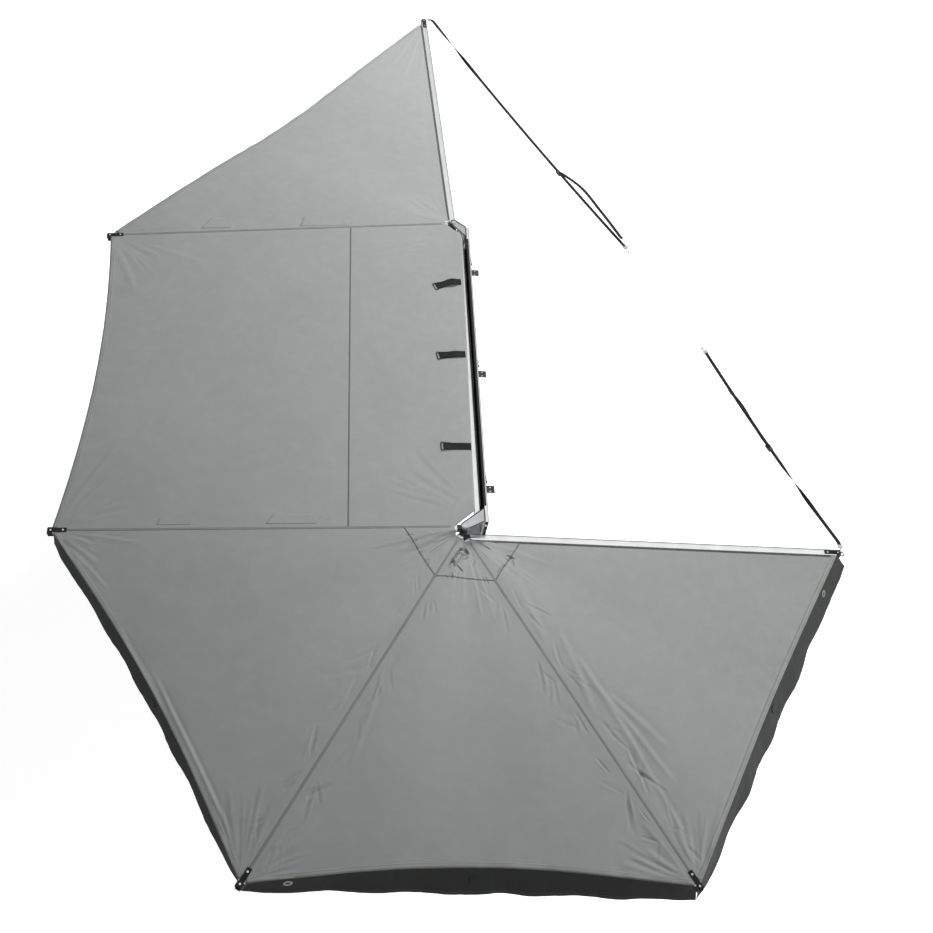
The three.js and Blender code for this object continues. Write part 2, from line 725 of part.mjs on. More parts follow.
// Hook round a bar, its shank level and pointing away from the bar
function guyHook(name, point, away) {
  const place = (out, up) => point.clone().addScaledVector(away, out).setZ(point.z + up).toArray();
  const path = [
    place(hookShank, hookGrip), place(hookShank / 2, hookGrip), place(0, hookGrip),
    place(-hookGrip, hookGrip / 2), place(-hookGrip, -hookGrip / 2), place(0, -hookGrip),
    place(hookTail, -hookGrip),
  ];
  return piece(name, wireAlong(path, hookWire, 14), 'steel');
}

// Guy strap: it leaves its hook square to the eye, turns to its pull and sags a little
function guyStrap(name, start, square, end, sag) {
  const bend = start.clone().addScaledVector(square, webbingWidth);
  const pull = end.clone().sub(bend).normalize();
  const lead = new THREE.QuadraticBezierCurve3(
    start, bend, bend.clone().addScaledVector(pull, webbingWidth));
  const free = Array.from({ length: guySteps }, (_, i) => {
    const t = (i + 1) / guySteps;
    const point = lead.v2.clone().lerp(end, t);
    point.z -= 4 * sag * t * (1 - t);
    return point;
  });
  const points = [...lead.getPoints(5), ...free].map((point) => point.toArray());
  return piece(name, webbingAlong(points, webbingWidth, webbingThick), 'webbing');
}

// One guy: the hook in the arm's eye, the strap, and the hook for a rack on the far side
function guy(name, eye, endPlace, sag) {
  const end = new THREE.Vector3(...endPlace);
  const shankEnd = hookShank + gap;
  const start = eye.point.clone().addScaledVector(eye.square, shankEnd);
  start.z += hookGrip;
  const back = start.clone().sub(end).setZ(0).normalize();
  const rack = end.clone().addScaledVector(back, -shankEnd);
  rack.z -= hookGrip;
  return [
    guyHook(`${name}_guy_hook`, eye.point, eye.square),
    guyStrap(`${name}_guy_strap`, start, eye.square, end, sag),
    guyHook(`${name}_guy_rack_hook`, rack, back),
  ];
}

// Sides of the rear panels: angle, height of the cloth's underside and distance from the axis
function rearSide(name, level, beside) {
  const offset = beside ? armWidth / 2 + gap : seam / 2;
  const height = levelTop(level) + (beside ? -trackSeat : gap);
  return { angle: toRadians(armAngles[name]), height, offset };
}

const awning = new THREE.Group();

awning.add(backRail(), canopyBeam(), travelCover());
for (const [place, y] of [['rear', -bracketSpacing], ['middle', 0], ['front', bracketSpacing]]) {
  awning.add(mountBracket(`mount_bracket_${place}`, y), bracketBolt(`bracket_bolt_${place}`, y));
}
awning.add(hubBracket('rear_hub_bracket', rearHub, 4, -1), hubPin('rear_hub_pin', rearHub, 4));
awning.add(hubBracket('front_hub_bracket', frontHub, 2, 1), hubPin('front_hub_pin', frontHub, 2));

Object.entries(armAngles).forEach(([name, angle], level) => {
  const last = name === 'arm_4';
  awning.add(arm(name, rearHub, level, angle, { leg: !last, trackSide: -1 }));
});
Object.entries(frontAngles).forEach(([name, angle], level) => {
  const last = name === 'front_arm';
  awning.add(arm(name, frontHub, level, angle, { leg: !last, trackSide: 1 }));
});

const rearSides = [
  rearSide('arm_1', 0, false), rearSide('arm_2', 1, false),
  rearSide('arm_3', 2, false), rearSide('arm_4', 3, true),
];
const frontSide = {
  angle: toRadians(frontAngles.front_side_arm), height: clothFloor, offset: seam / 2,
};
const frontEnd = {
  angle: toRadians(frontAngles.front_arm), height: levelTop(1) - trackSeat,
  offset: armWidth / 2 + gap,
};
awning.add(sidePanel());
awning.add(sectorPanel('canopy_front', frontHub, frontSide, frontEnd, edgeDipDepths.front));
['rear_left', 'rear', 'rear_right'].forEach((place, i) => {
  const sides = [rearHub, rearSides[i], rearSides[i + 1]];
  awning.add(sectorPanel(`canopy_${place}`, ...sides, edgeDipDepths[place]), valance(place, ...sides));
});

for (const [place, y] of Object.entries(storagePlaces)) {
  awning.add(storageStrap(`storage_strap_${place}`, y), storageRing(`storage_ring_${place}`, y));
}

const rearEye = eyeBarOf(rearHub, 3, armAngles.arm_4, 1);
const frontEye = eyeBarOf(frontHub, 1, frontAngles.front_arm, -1);
awning.add(...guy('rear', rearEye, rearGuyEnd, rearGuySagDepth));
awning.add(...guy('front', frontEye, frontGuyEnd, frontGuySagDepth));

export default awning;
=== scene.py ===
"""Looks of a fold-out side awning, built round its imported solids.

The awning's cloth, webbing and fittings are surfaces worked out with numpy. The rigid parts are
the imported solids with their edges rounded. Metres, in the part's own frame: X points to the side
that the awning is bolted to, Y forward and Z up.
"""

import json
import logging
import math
from dataclasses import dataclass
from enum import Enum
from functools import cached_property

import bmesh
import bpy
import numpy as np
from mathutils import Matrix, Vector

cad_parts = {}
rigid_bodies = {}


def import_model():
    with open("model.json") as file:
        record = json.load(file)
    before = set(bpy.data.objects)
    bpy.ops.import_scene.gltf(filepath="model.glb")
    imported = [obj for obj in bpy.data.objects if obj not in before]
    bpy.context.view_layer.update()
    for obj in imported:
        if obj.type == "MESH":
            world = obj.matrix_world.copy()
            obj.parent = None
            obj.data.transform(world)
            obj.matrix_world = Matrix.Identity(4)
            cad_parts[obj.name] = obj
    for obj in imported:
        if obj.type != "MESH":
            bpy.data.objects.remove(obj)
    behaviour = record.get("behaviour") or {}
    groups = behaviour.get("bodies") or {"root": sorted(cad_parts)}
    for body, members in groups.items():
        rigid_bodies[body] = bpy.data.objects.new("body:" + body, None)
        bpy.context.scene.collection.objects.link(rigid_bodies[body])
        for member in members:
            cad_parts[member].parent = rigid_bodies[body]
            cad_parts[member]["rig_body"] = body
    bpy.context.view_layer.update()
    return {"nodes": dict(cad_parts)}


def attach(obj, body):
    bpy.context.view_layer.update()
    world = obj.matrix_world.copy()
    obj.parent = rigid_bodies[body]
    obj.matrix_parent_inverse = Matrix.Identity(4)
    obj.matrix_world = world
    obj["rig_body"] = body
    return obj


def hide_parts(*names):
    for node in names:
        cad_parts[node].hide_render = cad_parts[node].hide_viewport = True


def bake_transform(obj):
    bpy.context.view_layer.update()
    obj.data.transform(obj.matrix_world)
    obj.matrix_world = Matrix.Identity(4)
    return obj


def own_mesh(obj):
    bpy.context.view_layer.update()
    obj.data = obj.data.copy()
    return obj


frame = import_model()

log = logging.getLogger("awning")

UP = np.array([0.0, 0.0, 1.0])
WHITE = (1.0, 1.0, 1.0)

# Hubs in plan, top of the uppermost arms and height of one level of arms
REAR_HUB = np.array([-0.1813, -1.246])
FRONT_HUB = np.array([-0.1393, 1.246])
STACK_TOP = 0.1278
PITCH = 0.0372

# Arms: length from the hub, half width, height, and the eye's place past the end and to the side
ARM_LENGTH = 2.33
ARM_HALF = 0.02
ARM_HEIGHT = 0.034
EYE_PAST = 0.0405
EYE_ASIDE = 0.0115

# Cloth: thickness, gap over what it lies on, first and last reach from a hub, half width of the
# strip that lies on an arm, depth of the track in an end arm, sag of a panel's middle, distance
# over which it comes free of an arm, and half the gap between two panels
CLOTH = 0.0012
CLOTH_GAP = 0.0003
CLOTH_START = 0.062
CLOTH_REACH = 2.338
CLOTH_RUN = CLOTH_REACH - CLOTH_START
SHOULDER = 0.0225
TRACK_SEAT = 0.007
CLOTH_SAG = 0.024
CLOTH_FREE = 0.09
PANEL_GAP = 0.0002

# Middle and half width of the beam and the rail across their length
BEAM_MIDDLE = -0.1013
BEAM_HALF = 0.016
RAIL_MIDDLE = -0.0463
RAIL_HALF = 0.011

# Webbing: thickness, width of a storage strap and the straps' places along the beam
WEBBING = 0.002
STRAP_WIDTH = 0.05
STRAPS = {"rear": -0.672, "middle": 0.058, "front": 0.69}

# Hub, plan angle in degrees and level of each arm
ARMS = {
    "arm_1": (REAR_HUB, 182.0, 0),
    "arm_2": (REAR_HUB, 239.5, 1),
    "arm_3": (REAR_HUB, 298.5, 2),
    "arm_4": (REAR_HUB, 358.5, 3),
    "front_side_arm": (FRONT_HUB, 187.0, 0),
    "front_arm": (FRONT_HUB, 93.5, 1),
}
END_ARMS = ("arm_4", "front_arm")


def eased(t: np.ndarray) -> np.ndarray:
    """Smooth step: t squared times (3 minus twice t), with t held between 0 and 1."""
    k = np.clip(t, 0.0, 1.0)
    return k * k * (3.0 - 2.0 * k)


def bell(distance: np.ndarray, width: float) -> np.ndarray:
    """Bell curve: e to the minus square of distance over width."""
    return np.exp(-((distance / width) ** 2))


def heading(turn: float) -> np.ndarray:
    """Unit vector of a plan angle."""
    return np.array([math.cos(turn), math.sin(turn)])


def level_top(level: int) -> float:
    """Height of the top of the arms on a level, counted down from the stack's top."""
    return STACK_TOP - level * PITCH


def unit(rows: np.ndarray) -> np.ndarray:
    """Vectors over their own lengths."""
    return rows / np.linalg.norm(rows, axis=-1, keepdims=True)


def runs(line: np.ndarray, ring: bool = False) -> np.ndarray:
    """Unit direction at each point of a line, from the points on both sides of it."""
    return unit(np.roll(line, -1, 0) - np.roll(line, 1, 0) if ring else np.gradient(line, axis=0))


def distances(line: np.ndarray) -> np.ndarray:
    """Distance along a line of points, from its start to each of them."""
    return np.concatenate([[0.0], np.cumsum(np.linalg.norm(np.diff(line, axis=0), axis=1))])


def paired(u: np.ndarray, v: np.ndarray) -> np.ndarray:
    """Two coordinates side by side in the last place, over their common grid."""
    return np.stack(np.broadcast_arrays(u, v), -1)


def points_of(data: bpy.types.Mesh) -> np.ndarray:
    """Reads the points of a mesh.

    Args:
        data: The mesh.

    Returns:
        Its points, as rows.
    """
    points = np.empty(len(data.vertices) * 3, np.float32)
    data.vertices.foreach_get("co", points)
    return points.reshape(-1, 3)


def mark(data: bpy.types.Mesh, name: str, values: np.ndarray) -> None:
    """Gives a mesh an attribute with one number for each point."""
    layer = data.attributes.new(name, "FLOAT", "POINT")
    layer.data.foreach_set("value", values.astype(np.float32))


class Unevenness:
    """Smooth random heights on a lattice that repeats, with a seed of its own."""

    SIZE = 64

    def __init__(self, seed: int) -> None:
        """Draws the lattice.

        Args:
            seed: Number that fixes the draw.
        """
        self.lattice = np.random.default_rng(seed).uniform(-1.0, 1.0, (self.SIZE, self.SIZE))

    def at(self, x: np.ndarray, y: np.ndarray, step: float) -> np.ndarray:
        """Height at each point: the four lattice values round it, mixed by eased shares.

        Args:
            x: First coordinate, in metres.
            y: Second coordinate, in metres.
            step: Distance between lattice points, in metres.

        Returns:
            Values between -1 and 1.
        """
        a, b = x / step, y / step
        i, j = np.floor(a).astype(int), np.floor(b).astype(int)
        s, t = eased(a - i), eased(b - j)
        i0, j0, i1, j1 = i % self.SIZE, j % self.SIZE, (i + 1) % self.SIZE, (j + 1) % self.SIZE
        grid = self.lattice
        low = grid[i0, j0] * (1 - s) + grid[i1, j0] * s
        high = grid[i0, j1] * (1 - s) + grid[i1, j1] * s
        return low * (1 - t) + high * t


# Shader networks


class Net:
    """Adds linked nodes to one node tree."""

    def __init__(self, tree: bpy.types.NodeTree) -> None:
        """Keeps the tree that the nodes go into."""
        self.tree = tree

    def feed(self, node: bpy.types.Node, inputs: dict) -> bpy.types.Node:
        """Links or sets inputs of a node.

        Args:
            node: The node.
            inputs: Socket name or number to a value, or to an output socket to link.

        Returns:
            The node.
        """
        for name, value in inputs.items():
            if isinstance(value, bpy.types.NodeSocket):
                self.tree.links.new(value, node.inputs[name])
            else:
                node.inputs[name].default_value = value
        return node

    def add(self, kind: str, inputs: dict | None = None, **settings: object) -> bpy.types.Node:
        """Adds a node.

        Args:
            kind: Node type without its "ShaderNode" start.
            inputs: Socket name or number to a value, or to an output socket to link.
            **settings: Attributes of the node.

        Returns:
            The node.
        """
        node = self.tree.nodes.new("ShaderNode" + kind)
        for name, value in settings.items():
            setattr(node, name, value)
        return self.feed(node, inputs or {})

    def math(self, operation: str, a: object, b: object = 0.0) -> bpy.types.NodeSocket:
        """Output of a Math node with one or two inputs."""
        return self.add("Math", {0: a, 1: b}, operation=operation).outputs[0]

    def times(self, a: object, b: object) -> bpy.types.NodeSocket:
        """Product of two numbers."""
        return self.math("MULTIPLY", a, b)

    def mix(self, share: object, a: object, b: object) -> bpy.types.NodeSocket:
        """Output of a colour mix from a to b."""
        inputs = {0: share, 6: a, 7: b}
        return self.add("Mix", inputs, data_type="RGBA", clamp_factor=True).outputs[2]

    def span(
        self, value: object, low: object, high: object, to: tuple[object, object] = (0.0, 1.0),
    ) -> bpy.types.NodeSocket:
        """Value mapped from low..high to the two ends of to, and held there."""
        inputs = {"Value": value, "From Min": low, "From Max": high, "To Min": to[0], "To Max": to[1]}
        return self.add("MapRange", inputs).outputs[0]


class Effects:
    """Shader node groups that several finishes share, each built once."""

    def __init__(self) -> None:
        """Builds the groups."""
        self.weave = self._weave()
        self.mottle = self._mottle()
        self.grain = self._grain()
        self.stitches = self._stitches()
        self.dust = self._dust()

    @staticmethod
    def _group(
        name: str, inputs: list[tuple], outputs: list[str],
    ) -> tuple[bpy.types.NodeTree, Net, dict]:
        """Opens a new group.

        Args:
            name: Name of the group.
            inputs: (name, "Float" or "Vector", default) of each input.
            outputs: Names of the outputs, all single numbers.

        Returns:
            The group, its net and its input sockets by name.
        """
        tree = bpy.data.node_groups.new(name, "ShaderNodeTree")
        for label, kind, default in inputs:
            socket = tree.interface.new_socket(label, in_out="INPUT", socket_type="NodeSocket" + kind)
            socket.default_value = default
        for label in outputs:
            tree.interface.new_socket(label, in_out="OUTPUT", socket_type="NodeSocketFloat")
        entry = tree.nodes.new("NodeGroupInput")
        return tree, Net(tree), {label: entry.outputs[label] for label, _, _ in inputs}

    @staticmethod
    def _close(
        tree: bpy.types.NodeTree, values: dict[str, bpy.types.NodeSocket],
    ) -> bpy.types.NodeTree:
        """Links a group's results to its outputs.

        Args:
            tree: The group.
            values: Results by the name of their output.

        Returns:
            The group.
        """
        leave = tree.nodes.new("NodeGroupOutput")
        for label, value in values.items():
            tree.links.new(value, leave.inputs[label])
        return tree

    def _weave(self) -> bpy.types.NodeTree:
        """Plain weave: the product of two sines across the threads, and a stronger thread at a step."""
        inputs = [
            ("Vector", "Vector", (0, 0, 0)), ("Pitch", "Float", 0.001), ("Grid", "Float", 0.006),
        ]
        tree, net, value = self._group("woven threads", inputs, ["Height", "Grid"])
        split = net.add("SeparateXYZ", {"Vector": value["Vector"]})
        waves, ribs = [], []
        for axis in (0, 1):
            turns = net.math("DIVIDE", split.outputs[axis], value["Pitch"])
            waves.append(net.math("SINE", net.times(turns, math.tau)))
            place = net.math("FRACT", net.math("DIVIDE", split.outputs[axis], value["Grid"]))
            ribs.append(net.math("GREATER_THAN", place, 0.86))
        height = net.math("MULTIPLY_ADD", waves[0], waves[1])
        grid = net.math("MAXIMUM", ribs[0], ribs[1])
        return self._close(tree, {"Height": height, "Grid": grid})

    def _mottle(self) -> bpy.types.NodeTree:
        """Soft cloudy shade: fractal noise mapped between two values."""
        inputs = [
            ("Vector", "Vector", (0, 0, 0)), ("Scale", "Float", 3.0),
            ("Low", "Float", 0.0), ("High", "Float", 1.0),
        ]
        tree, net, value = self._group("soft mottle", inputs, ["Value"])
        clouds = {"Vector": value["Vector"], "Scale": value["Scale"], "Detail": 5.0, "Roughness": 0.55}
        noise = net.add("TexNoise", clouds).outputs[0]
        shade = net.span(noise, 0.32, 0.68, (value["Low"], value["High"]))
        return self._close(tree, {"Value": shade})

    def _grain(self) -> bpy.types.NodeTree:
        """Brushed grain: noise drawn out along one direction by scaling its vector."""
        inputs = [
            ("Vector", "Vector", (0, 0, 0)), ("Stretch", "Vector", (1, 1, 1)),
            ("Scale", "Float", 400.0),
        ]
        tree, net, value = self._group("drawn grain", inputs, ["Value"])
        drawn = net.add("VectorMath", {0: value["Vector"], 1: value["Stretch"]}, operation="MULTIPLY")
        noise = net.add("TexNoise", {"Vector": drawn.outputs[0], "Scale": value["Scale"], "Detail": 3.0})
        return self._close(tree, {"Value": noise.outputs[0]})

    def _stitches(self) -> bpy.types.NodeTree:
        """Two rows of stitches along a band: dashes along it, at a distance from its middle line."""
        inputs = [
            ("Vector", "Vector", (0, 0, 0)), ("Row", "Float", 0.006),
            ("Pitch", "Float", 0.006), ("Thread", "Float", 0.0009),
        ]
        tree, net, value = self._group("stitch rows", inputs, ["Mask", "Height"])
        split = net.add("SeparateXYZ", {"Vector": value["Vector"]})
        off = net.math("SUBTRACT", net.math("ABSOLUTE", split.outputs[1]), value["Row"])
        aside = net.math("ABSOLUTE", off)
        near = net.math("LESS_THAN", aside, value["Thread"])
        dash = net.math("FRACT", net.math("DIVIDE", split.outputs[0], value["Pitch"]))
        on = net.math("LESS_THAN", dash, 0.72)
        mask = net.times(near, on)
        groove = net.times(net.math("LESS_THAN", aside, 0.0018), -0.6)
        return self._close(tree, {"Mask": mask, "Height": net.math("ADD", mask, groove)})

    def _dust(self) -> bpy.types.NodeTree:
        """Fine dust: noise times how far a face looks up."""
        inputs = [("Vector", "Vector", (0, 0, 0)), ("Amount", "Float", 0.2)]
        tree, net, value = self._group("settled dust", inputs, ["Mask"])
        normal = net.add("NewGeometry").outputs["Normal"]
        up = net.span(net.add("SeparateXYZ", {"Vector": normal}).outputs[2], 0.3, 1.0)
        noise = net.add("TexNoise", {"Vector": value["Vector"], "Scale": 14.0, "Detail": 8.0})
        patch = net.span(noise.outputs[0], 0.42, 0.7)
        mask = net.times(net.times(up, patch), value["Amount"])
        return self._close(tree, {"Mask": mask})


def rgba(grey: float, tint: tuple[float, float, float] = WHITE) -> tuple[float, ...]:
    """Colour of a grey times a tint, opaque."""
    return (grey * tint[0], grey * tint[1], grey * tint[2], 1.0)


class Surface:
    """A material while it is made: its nodes, its shader and the shared effects placed in it."""

    def __init__(self, name: str, effects: Effects) -> None:
        """Starts the material.

        Args:
            name: Name of the material.
            effects: The shared node groups.
        """
        self.material = bpy.data.materials.new(name)
        self.material.use_nodes = True
        self.net = Net(self.material.node_tree)
        self.effects = effects
        self.place = self.net.add("TexCoord").outputs["Object"]

    @cached_property
    def cloth(self) -> bpy.types.NodeSocket:
        """Flat cloth coordinates."""
        return self.net.add("UVMap", uv_map="flat").outputs[0]

    def effect(self, kind: str, **inputs: object) -> bpy.types.bpy_prop_collection:
        """Outputs of a shared effect placed in the material with its own values."""
        group = getattr(self.effects, kind)
        return self.net.add("Group", inputs, node_tree=group).outputs

    def mottle(self, scale: float) -> bpy.types.NodeSocket:
        """Cloudy shade from 0 to 1 of a noise scale."""
        return self.effect("mottle", Vector=self.place, Scale=scale, Low=0.0, High=1.0)[0]

    def dust(self, amount: float) -> bpy.types.NodeSocket:
        """Mask of the dust on faces that look up."""
        return self.effect("dust", Vector=self.place, Amount=amount)[0]

    def done(
        self, base: object, roughness: object, height: object, bump: tuple[float, float] = (1.0, 1.0),
        **plain: float,
    ) -> bpy.types.Material:
        """Joins the results to the shader.

        Args:
            base: Colour.
            roughness: Roughness, as a value or a socket.
            height: Height of the fine relief.
            bump: Strength and distance of the relief's bump.
            **plain: Plain values of the shader's other inputs, by name with lines for spaces.

        Returns:
            The finished material.
        """
        strength, distance = bump
        relief = self.net.add("Bump", {"Strength": strength, "Distance": distance, "Height": height})
        inputs = {"Base Color": base, "Roughness": roughness, "Normal": relief.outputs[0]}
        inputs.update((name.replace("_", " "), value) for name, value in plain.items())
        self.net.feed(self.material.node_tree.nodes["Principled BSDF"], inputs)
        return self.material


@dataclass(frozen=True)
class ClothFinish:
    """Coated woven cloth whose pattern follows the cloth's own flat coordinates."""

    name: str
    grey: float
    tint: tuple[float, float, float]
    roughness: float
    pitch: float
    bump: float
    crumple: float
    grid: float

    def material(self, effects: Effects) -> bpy.types.Material:
        """Makes the material.

        Args:
            effects: The shared node groups.

        Returns:
            The material.
        """
        surface = Surface(self.name, effects)
        net = surface.net
        weave = surface.effect("weave", Vector=surface.cloth, Pitch=self.pitch, Grid=self.grid)
        mottle = surface.mottle(2.2)
        base = net.mix(mottle, rgba(self.grey * 0.965, self.tint), rgba(self.grey * 1.03, self.tint))
        base = net.mix(net.times(weave["Grid"], 0.16), base, rgba(self.grey * 0.78, self.tint))
        base = net.mix(surface.dust(0.16), base, rgba(self.grey * 1.25 + 0.01, (1.0, 0.98, 0.95)))
        rough = net.span(mottle, 0.0, 1.0, (self.roughness - 0.05, self.roughness + 0.06))
        creased = net.add("Attribute", attribute_name="crumple").outputs["Fac"]
        wrinkles = {"Vector": surface.cloth, "Scale": 26.0, "Detail": 4.0, "Distortion": 0.7}
        noise = net.add("TexNoise", wrinkles).outputs[0]
        crease = net.times(net.times(noise, creased), self.crumple)
        height = net.math("ADD", crease, net.times(weave["Height"], self.bump))
        height = net.math("ADD", height, net.times(weave["Grid"], self.bump))
        return surface.done(base, rough, height, Specular_IOR_Level=0.35)


@dataclass(frozen=True)
class WebbingFinish:
    """Flat woven webbing: slanted ribs across it, paler on their crests and darker between them."""

    name: str
    grey: float
    rib: float
    stitched: bool = False
    thread: float = 0.3

    def material(self, effects: Effects) -> bpy.types.Material:
        """Makes the material.

        Args:
            effects: The shared node groups.

        Returns:
            The material.
        """
        surface = Surface(self.name, effects)
        net = surface.net
        split = net.add("SeparateXYZ", {"Vector": surface.cloth}).outputs
        slant = net.times(net.math("ABSOLUTE", split[1]), 0.6)
        turns = net.math("DIVIDE", net.math("ADD", split[0], slant), self.rib)
        rib = net.math("SINE", net.times(turns, math.tau))
        # Colour follows the ribs: paler on their crests, darker between them
        base = net.mix(net.span(rib, -1.0, 1.0), rgba(self.grey * 0.7), rgba(self.grey * 1.35))
        base = net.mix(net.times(surface.mottle(18.0), 0.25), base, rgba(self.grey * 1.8))
        base = net.mix(surface.dust(0.12), base, rgba(0.1, (1.0, 0.97, 0.92)))
        height = net.times(rib, 0.00022)
        if self.stitched:
            rows = surface.effect("stitches", Vector=surface.cloth, Row=0.0085, Pitch=0.005, Thread=0.0006)
            base = net.mix(rows["Mask"], base, rgba(self.thread))
            height = net.math("ADD", height, net.times(rows["Height"], 0.0003))
        return surface.done(base, 0.78, height, Specular_IOR_Level=0.25)


@dataclass(frozen=True)
class SeamFinish:
    """Folded seam tape with two rows of stitches."""

    name: str
    grey: float
    tint: tuple[float, float, float]
    row: float
    thread: float

    def material(self, effects: Effects) -> bpy.types.Material:
        """Makes the material.

        Args:
            effects: The shared node groups.

        Returns:
            The material.
        """
        surface = Surface(self.name, effects)
        net = surface.net
        rows = surface.effect("stitches", Vector=surface.cloth, Row=self.row, Pitch=0.006, Thread=0.0008)
        weave = surface.effect("weave", Vector=surface.cloth, Pitch=0.0011, Grid=0.006)
        dark, light = rgba(self.grey * 0.9, self.tint), rgba(self.grey * 1.08, self.tint)
        base = net.mix(surface.mottle(6.0), dark, light)
        base = net.mix(rows["Mask"], base, rgba(self.thread, self.tint))
        threads = net.times(weave["Height"], 0.00005)
        return surface.done(base, 0.7, net.math("ADD", net.times(rows["Height"], 0.0004), threads))


@dataclass(frozen=True)
class MetalFinish:
    """Drawn, brushed or plated metal with a grain along one direction."""

    name: str
    grey: float
    tint: tuple[float, float, float]
    roughness: float
    stretch: tuple[float, float, float]
    spread: float = 0.12
    rounding: float = 0.0

    def material(self, effects: Effects) -> bpy.types.Material:
        """Makes the material.

        Args:
            effects: The shared node groups.

        Returns:
            The material.
        """
        surface = Surface(self.name, effects)
        net = surface.net
        grain = surface.effect("grain", Vector=surface.place, Stretch=self.stretch, Scale=320.0)[0]
        dust = surface.dust(0.12)
        dark, light = rgba(self.grey * 0.94, self.tint), rgba(self.grey * 1.03, self.tint)
        base = net.mix(surface.mottle(9.0), dark, light)
        base = net.mix(dust, base, rgba(0.42, (1.0, 0.97, 0.92)))
        ends = (self.roughness - self.spread / 2, self.roughness + self.spread / 2)
        rough = net.math("ADD", net.span(grain, 0.3, 0.7, ends), net.times(dust, 0.5))
        height = net.times(grain, 0.00004)
        if self.rounding:
            across = net.math("ABSOLUTE", net.add("Attribute", attribute_name="across").outputs["Fac"])
            fall = net.times(net.math("POWER", across, 4.0), self.rounding)
            height = net.math("SUBTRACT", height, fall)
        return surface.done(base, rough, height, Metallic=1.0)


@dataclass(frozen=True)
class CoatFinish:
    """Moulded plastic or powder coat with a fine orange peel."""

    name: str
    grey: float
    roughness: float
    peel: float
    peel_scale: float

    def material(self, effects: Effects) -> bpy.types.Material:
        """Makes the material.

        Args:
            effects: The shared node groups.

        Returns:
            The material.
        """
        surface = Surface(self.name, effects)
        net = surface.net
        mottle = surface.mottle(12.0)
        base = net.mix(mottle, rgba(self.grey * 0.8), rgba(self.grey * 1.2))
        base = net.mix(surface.dust(0.12), base, rgba(0.2, (1.0, 0.96, 0.9)))
        rough = net.span(mottle, 0.0, 1.0, (self.roughness - 0.06, self.roughness + 0.08))
        peel = {"Vector": surface.place, "Scale": self.peel_scale, "Detail": 2.0}
        noise = net.add("TexNoise", peel).outputs[0]
        return surface.done(base, rough, noise, (self.peel, 0.0003))


class Finish(Enum):
    """Every finish of the awning."""

    CANOPY = ClothFinish(
        "grey canopy polyester", 0.30, (0.975, 1.0, 1.0), 0.62, 0.0011, 0.00006, 0.0016, 0.006)
    VALANCE = ClothFinish(
        "charcoal valance polyester", 0.045, (0.97, 0.99, 1.0), 0.6, 0.0011, 0.00006, 0.002, 0.006)
    COVER = ClothFinish("black cover vinyl", 0.022, WHITE, 0.42, 0.0016, 0.00008, 0.002, 0.004)
    WEBBING = WebbingFinish("black webbing", 0.015, 0.0028)
    TAB = WebbingFinish("stitched black webbing", 0.013, 0.0028, True, 0.05)
    ZIP = WebbingFinish("black zip teeth", 0.03, 0.0022)
    # Painted shade: the seam tapes are darker than the canopy's grey, to stand for the shade along the
    # seams; the narrow shaded tape is darker still
    SEAM = SeamFinish("grey seam tape", 0.235, (0.975, 1.0, 1.0), 0.0045, 0.06)
    DARK_SEAM = SeamFinish("shaded seam tape", 0.15, (0.975, 1.0, 1.0), 0.003, 0.05)
    HEM = SeamFinish("grey hem", 0.29, (0.975, 1.0, 1.0), 0.008, 0.14)
    # Painted shade: a real edge bead, dark grey so that it also stands for the shadow in the end arm's
    # track
    BEAD = SeamFinish("grey edge bead", 0.1, (0.98, 1.0, 1.0), 0.002, 0.08)
    DARK_HEM = SeamFinish("charcoal hem", 0.05, (0.97, 0.99, 1.0), 0.008, 0.09)
    BINDING = SeamFinish("khaki binding", 0.34, (1.0, 0.95, 0.74), 0.002, 0.2)
    EXTRUSION_Y = MetalFinish(
        "drawn aluminium along the rail", 0.9, (0.99, 1.0, 1.01), 0.28, (1.0, 0.02, 1.0),
        rounding=0.0034)
    EXTRUSION_X = MetalFinish(
        "drawn aluminium along the arms", 0.92, (0.99, 1.0, 1.01), 0.28, (0.05, 0.05, 1.0),
        rounding=0.0044)
    HUB = MetalFinish("brushed hub plate", 0.6, (0.99, 1.0, 1.01), 0.36, (1.0, 0.06, 1.0))
    LEG = MetalFinish("satin leg tube", 0.74, (0.98, 0.99, 1.01), 0.34, (0.05, 0.05, 1.0))
    STEEL = MetalFinish("zinc plated steel", 0.66, (0.97, 0.99, 1.02), 0.32, (0.6, 0.6, 0.6), 0.2)
    PLASTIC = CoatFinish("black moulded nylon", 0.026, 0.46, 0.35, 900.0)
    POWDER = CoatFinish("black powder coat", 0.03, 0.5, 0.6, 1400.0)


# Angle between two faces from which their edge is drawn hard, in radians
HARD_EDGE = 0.7


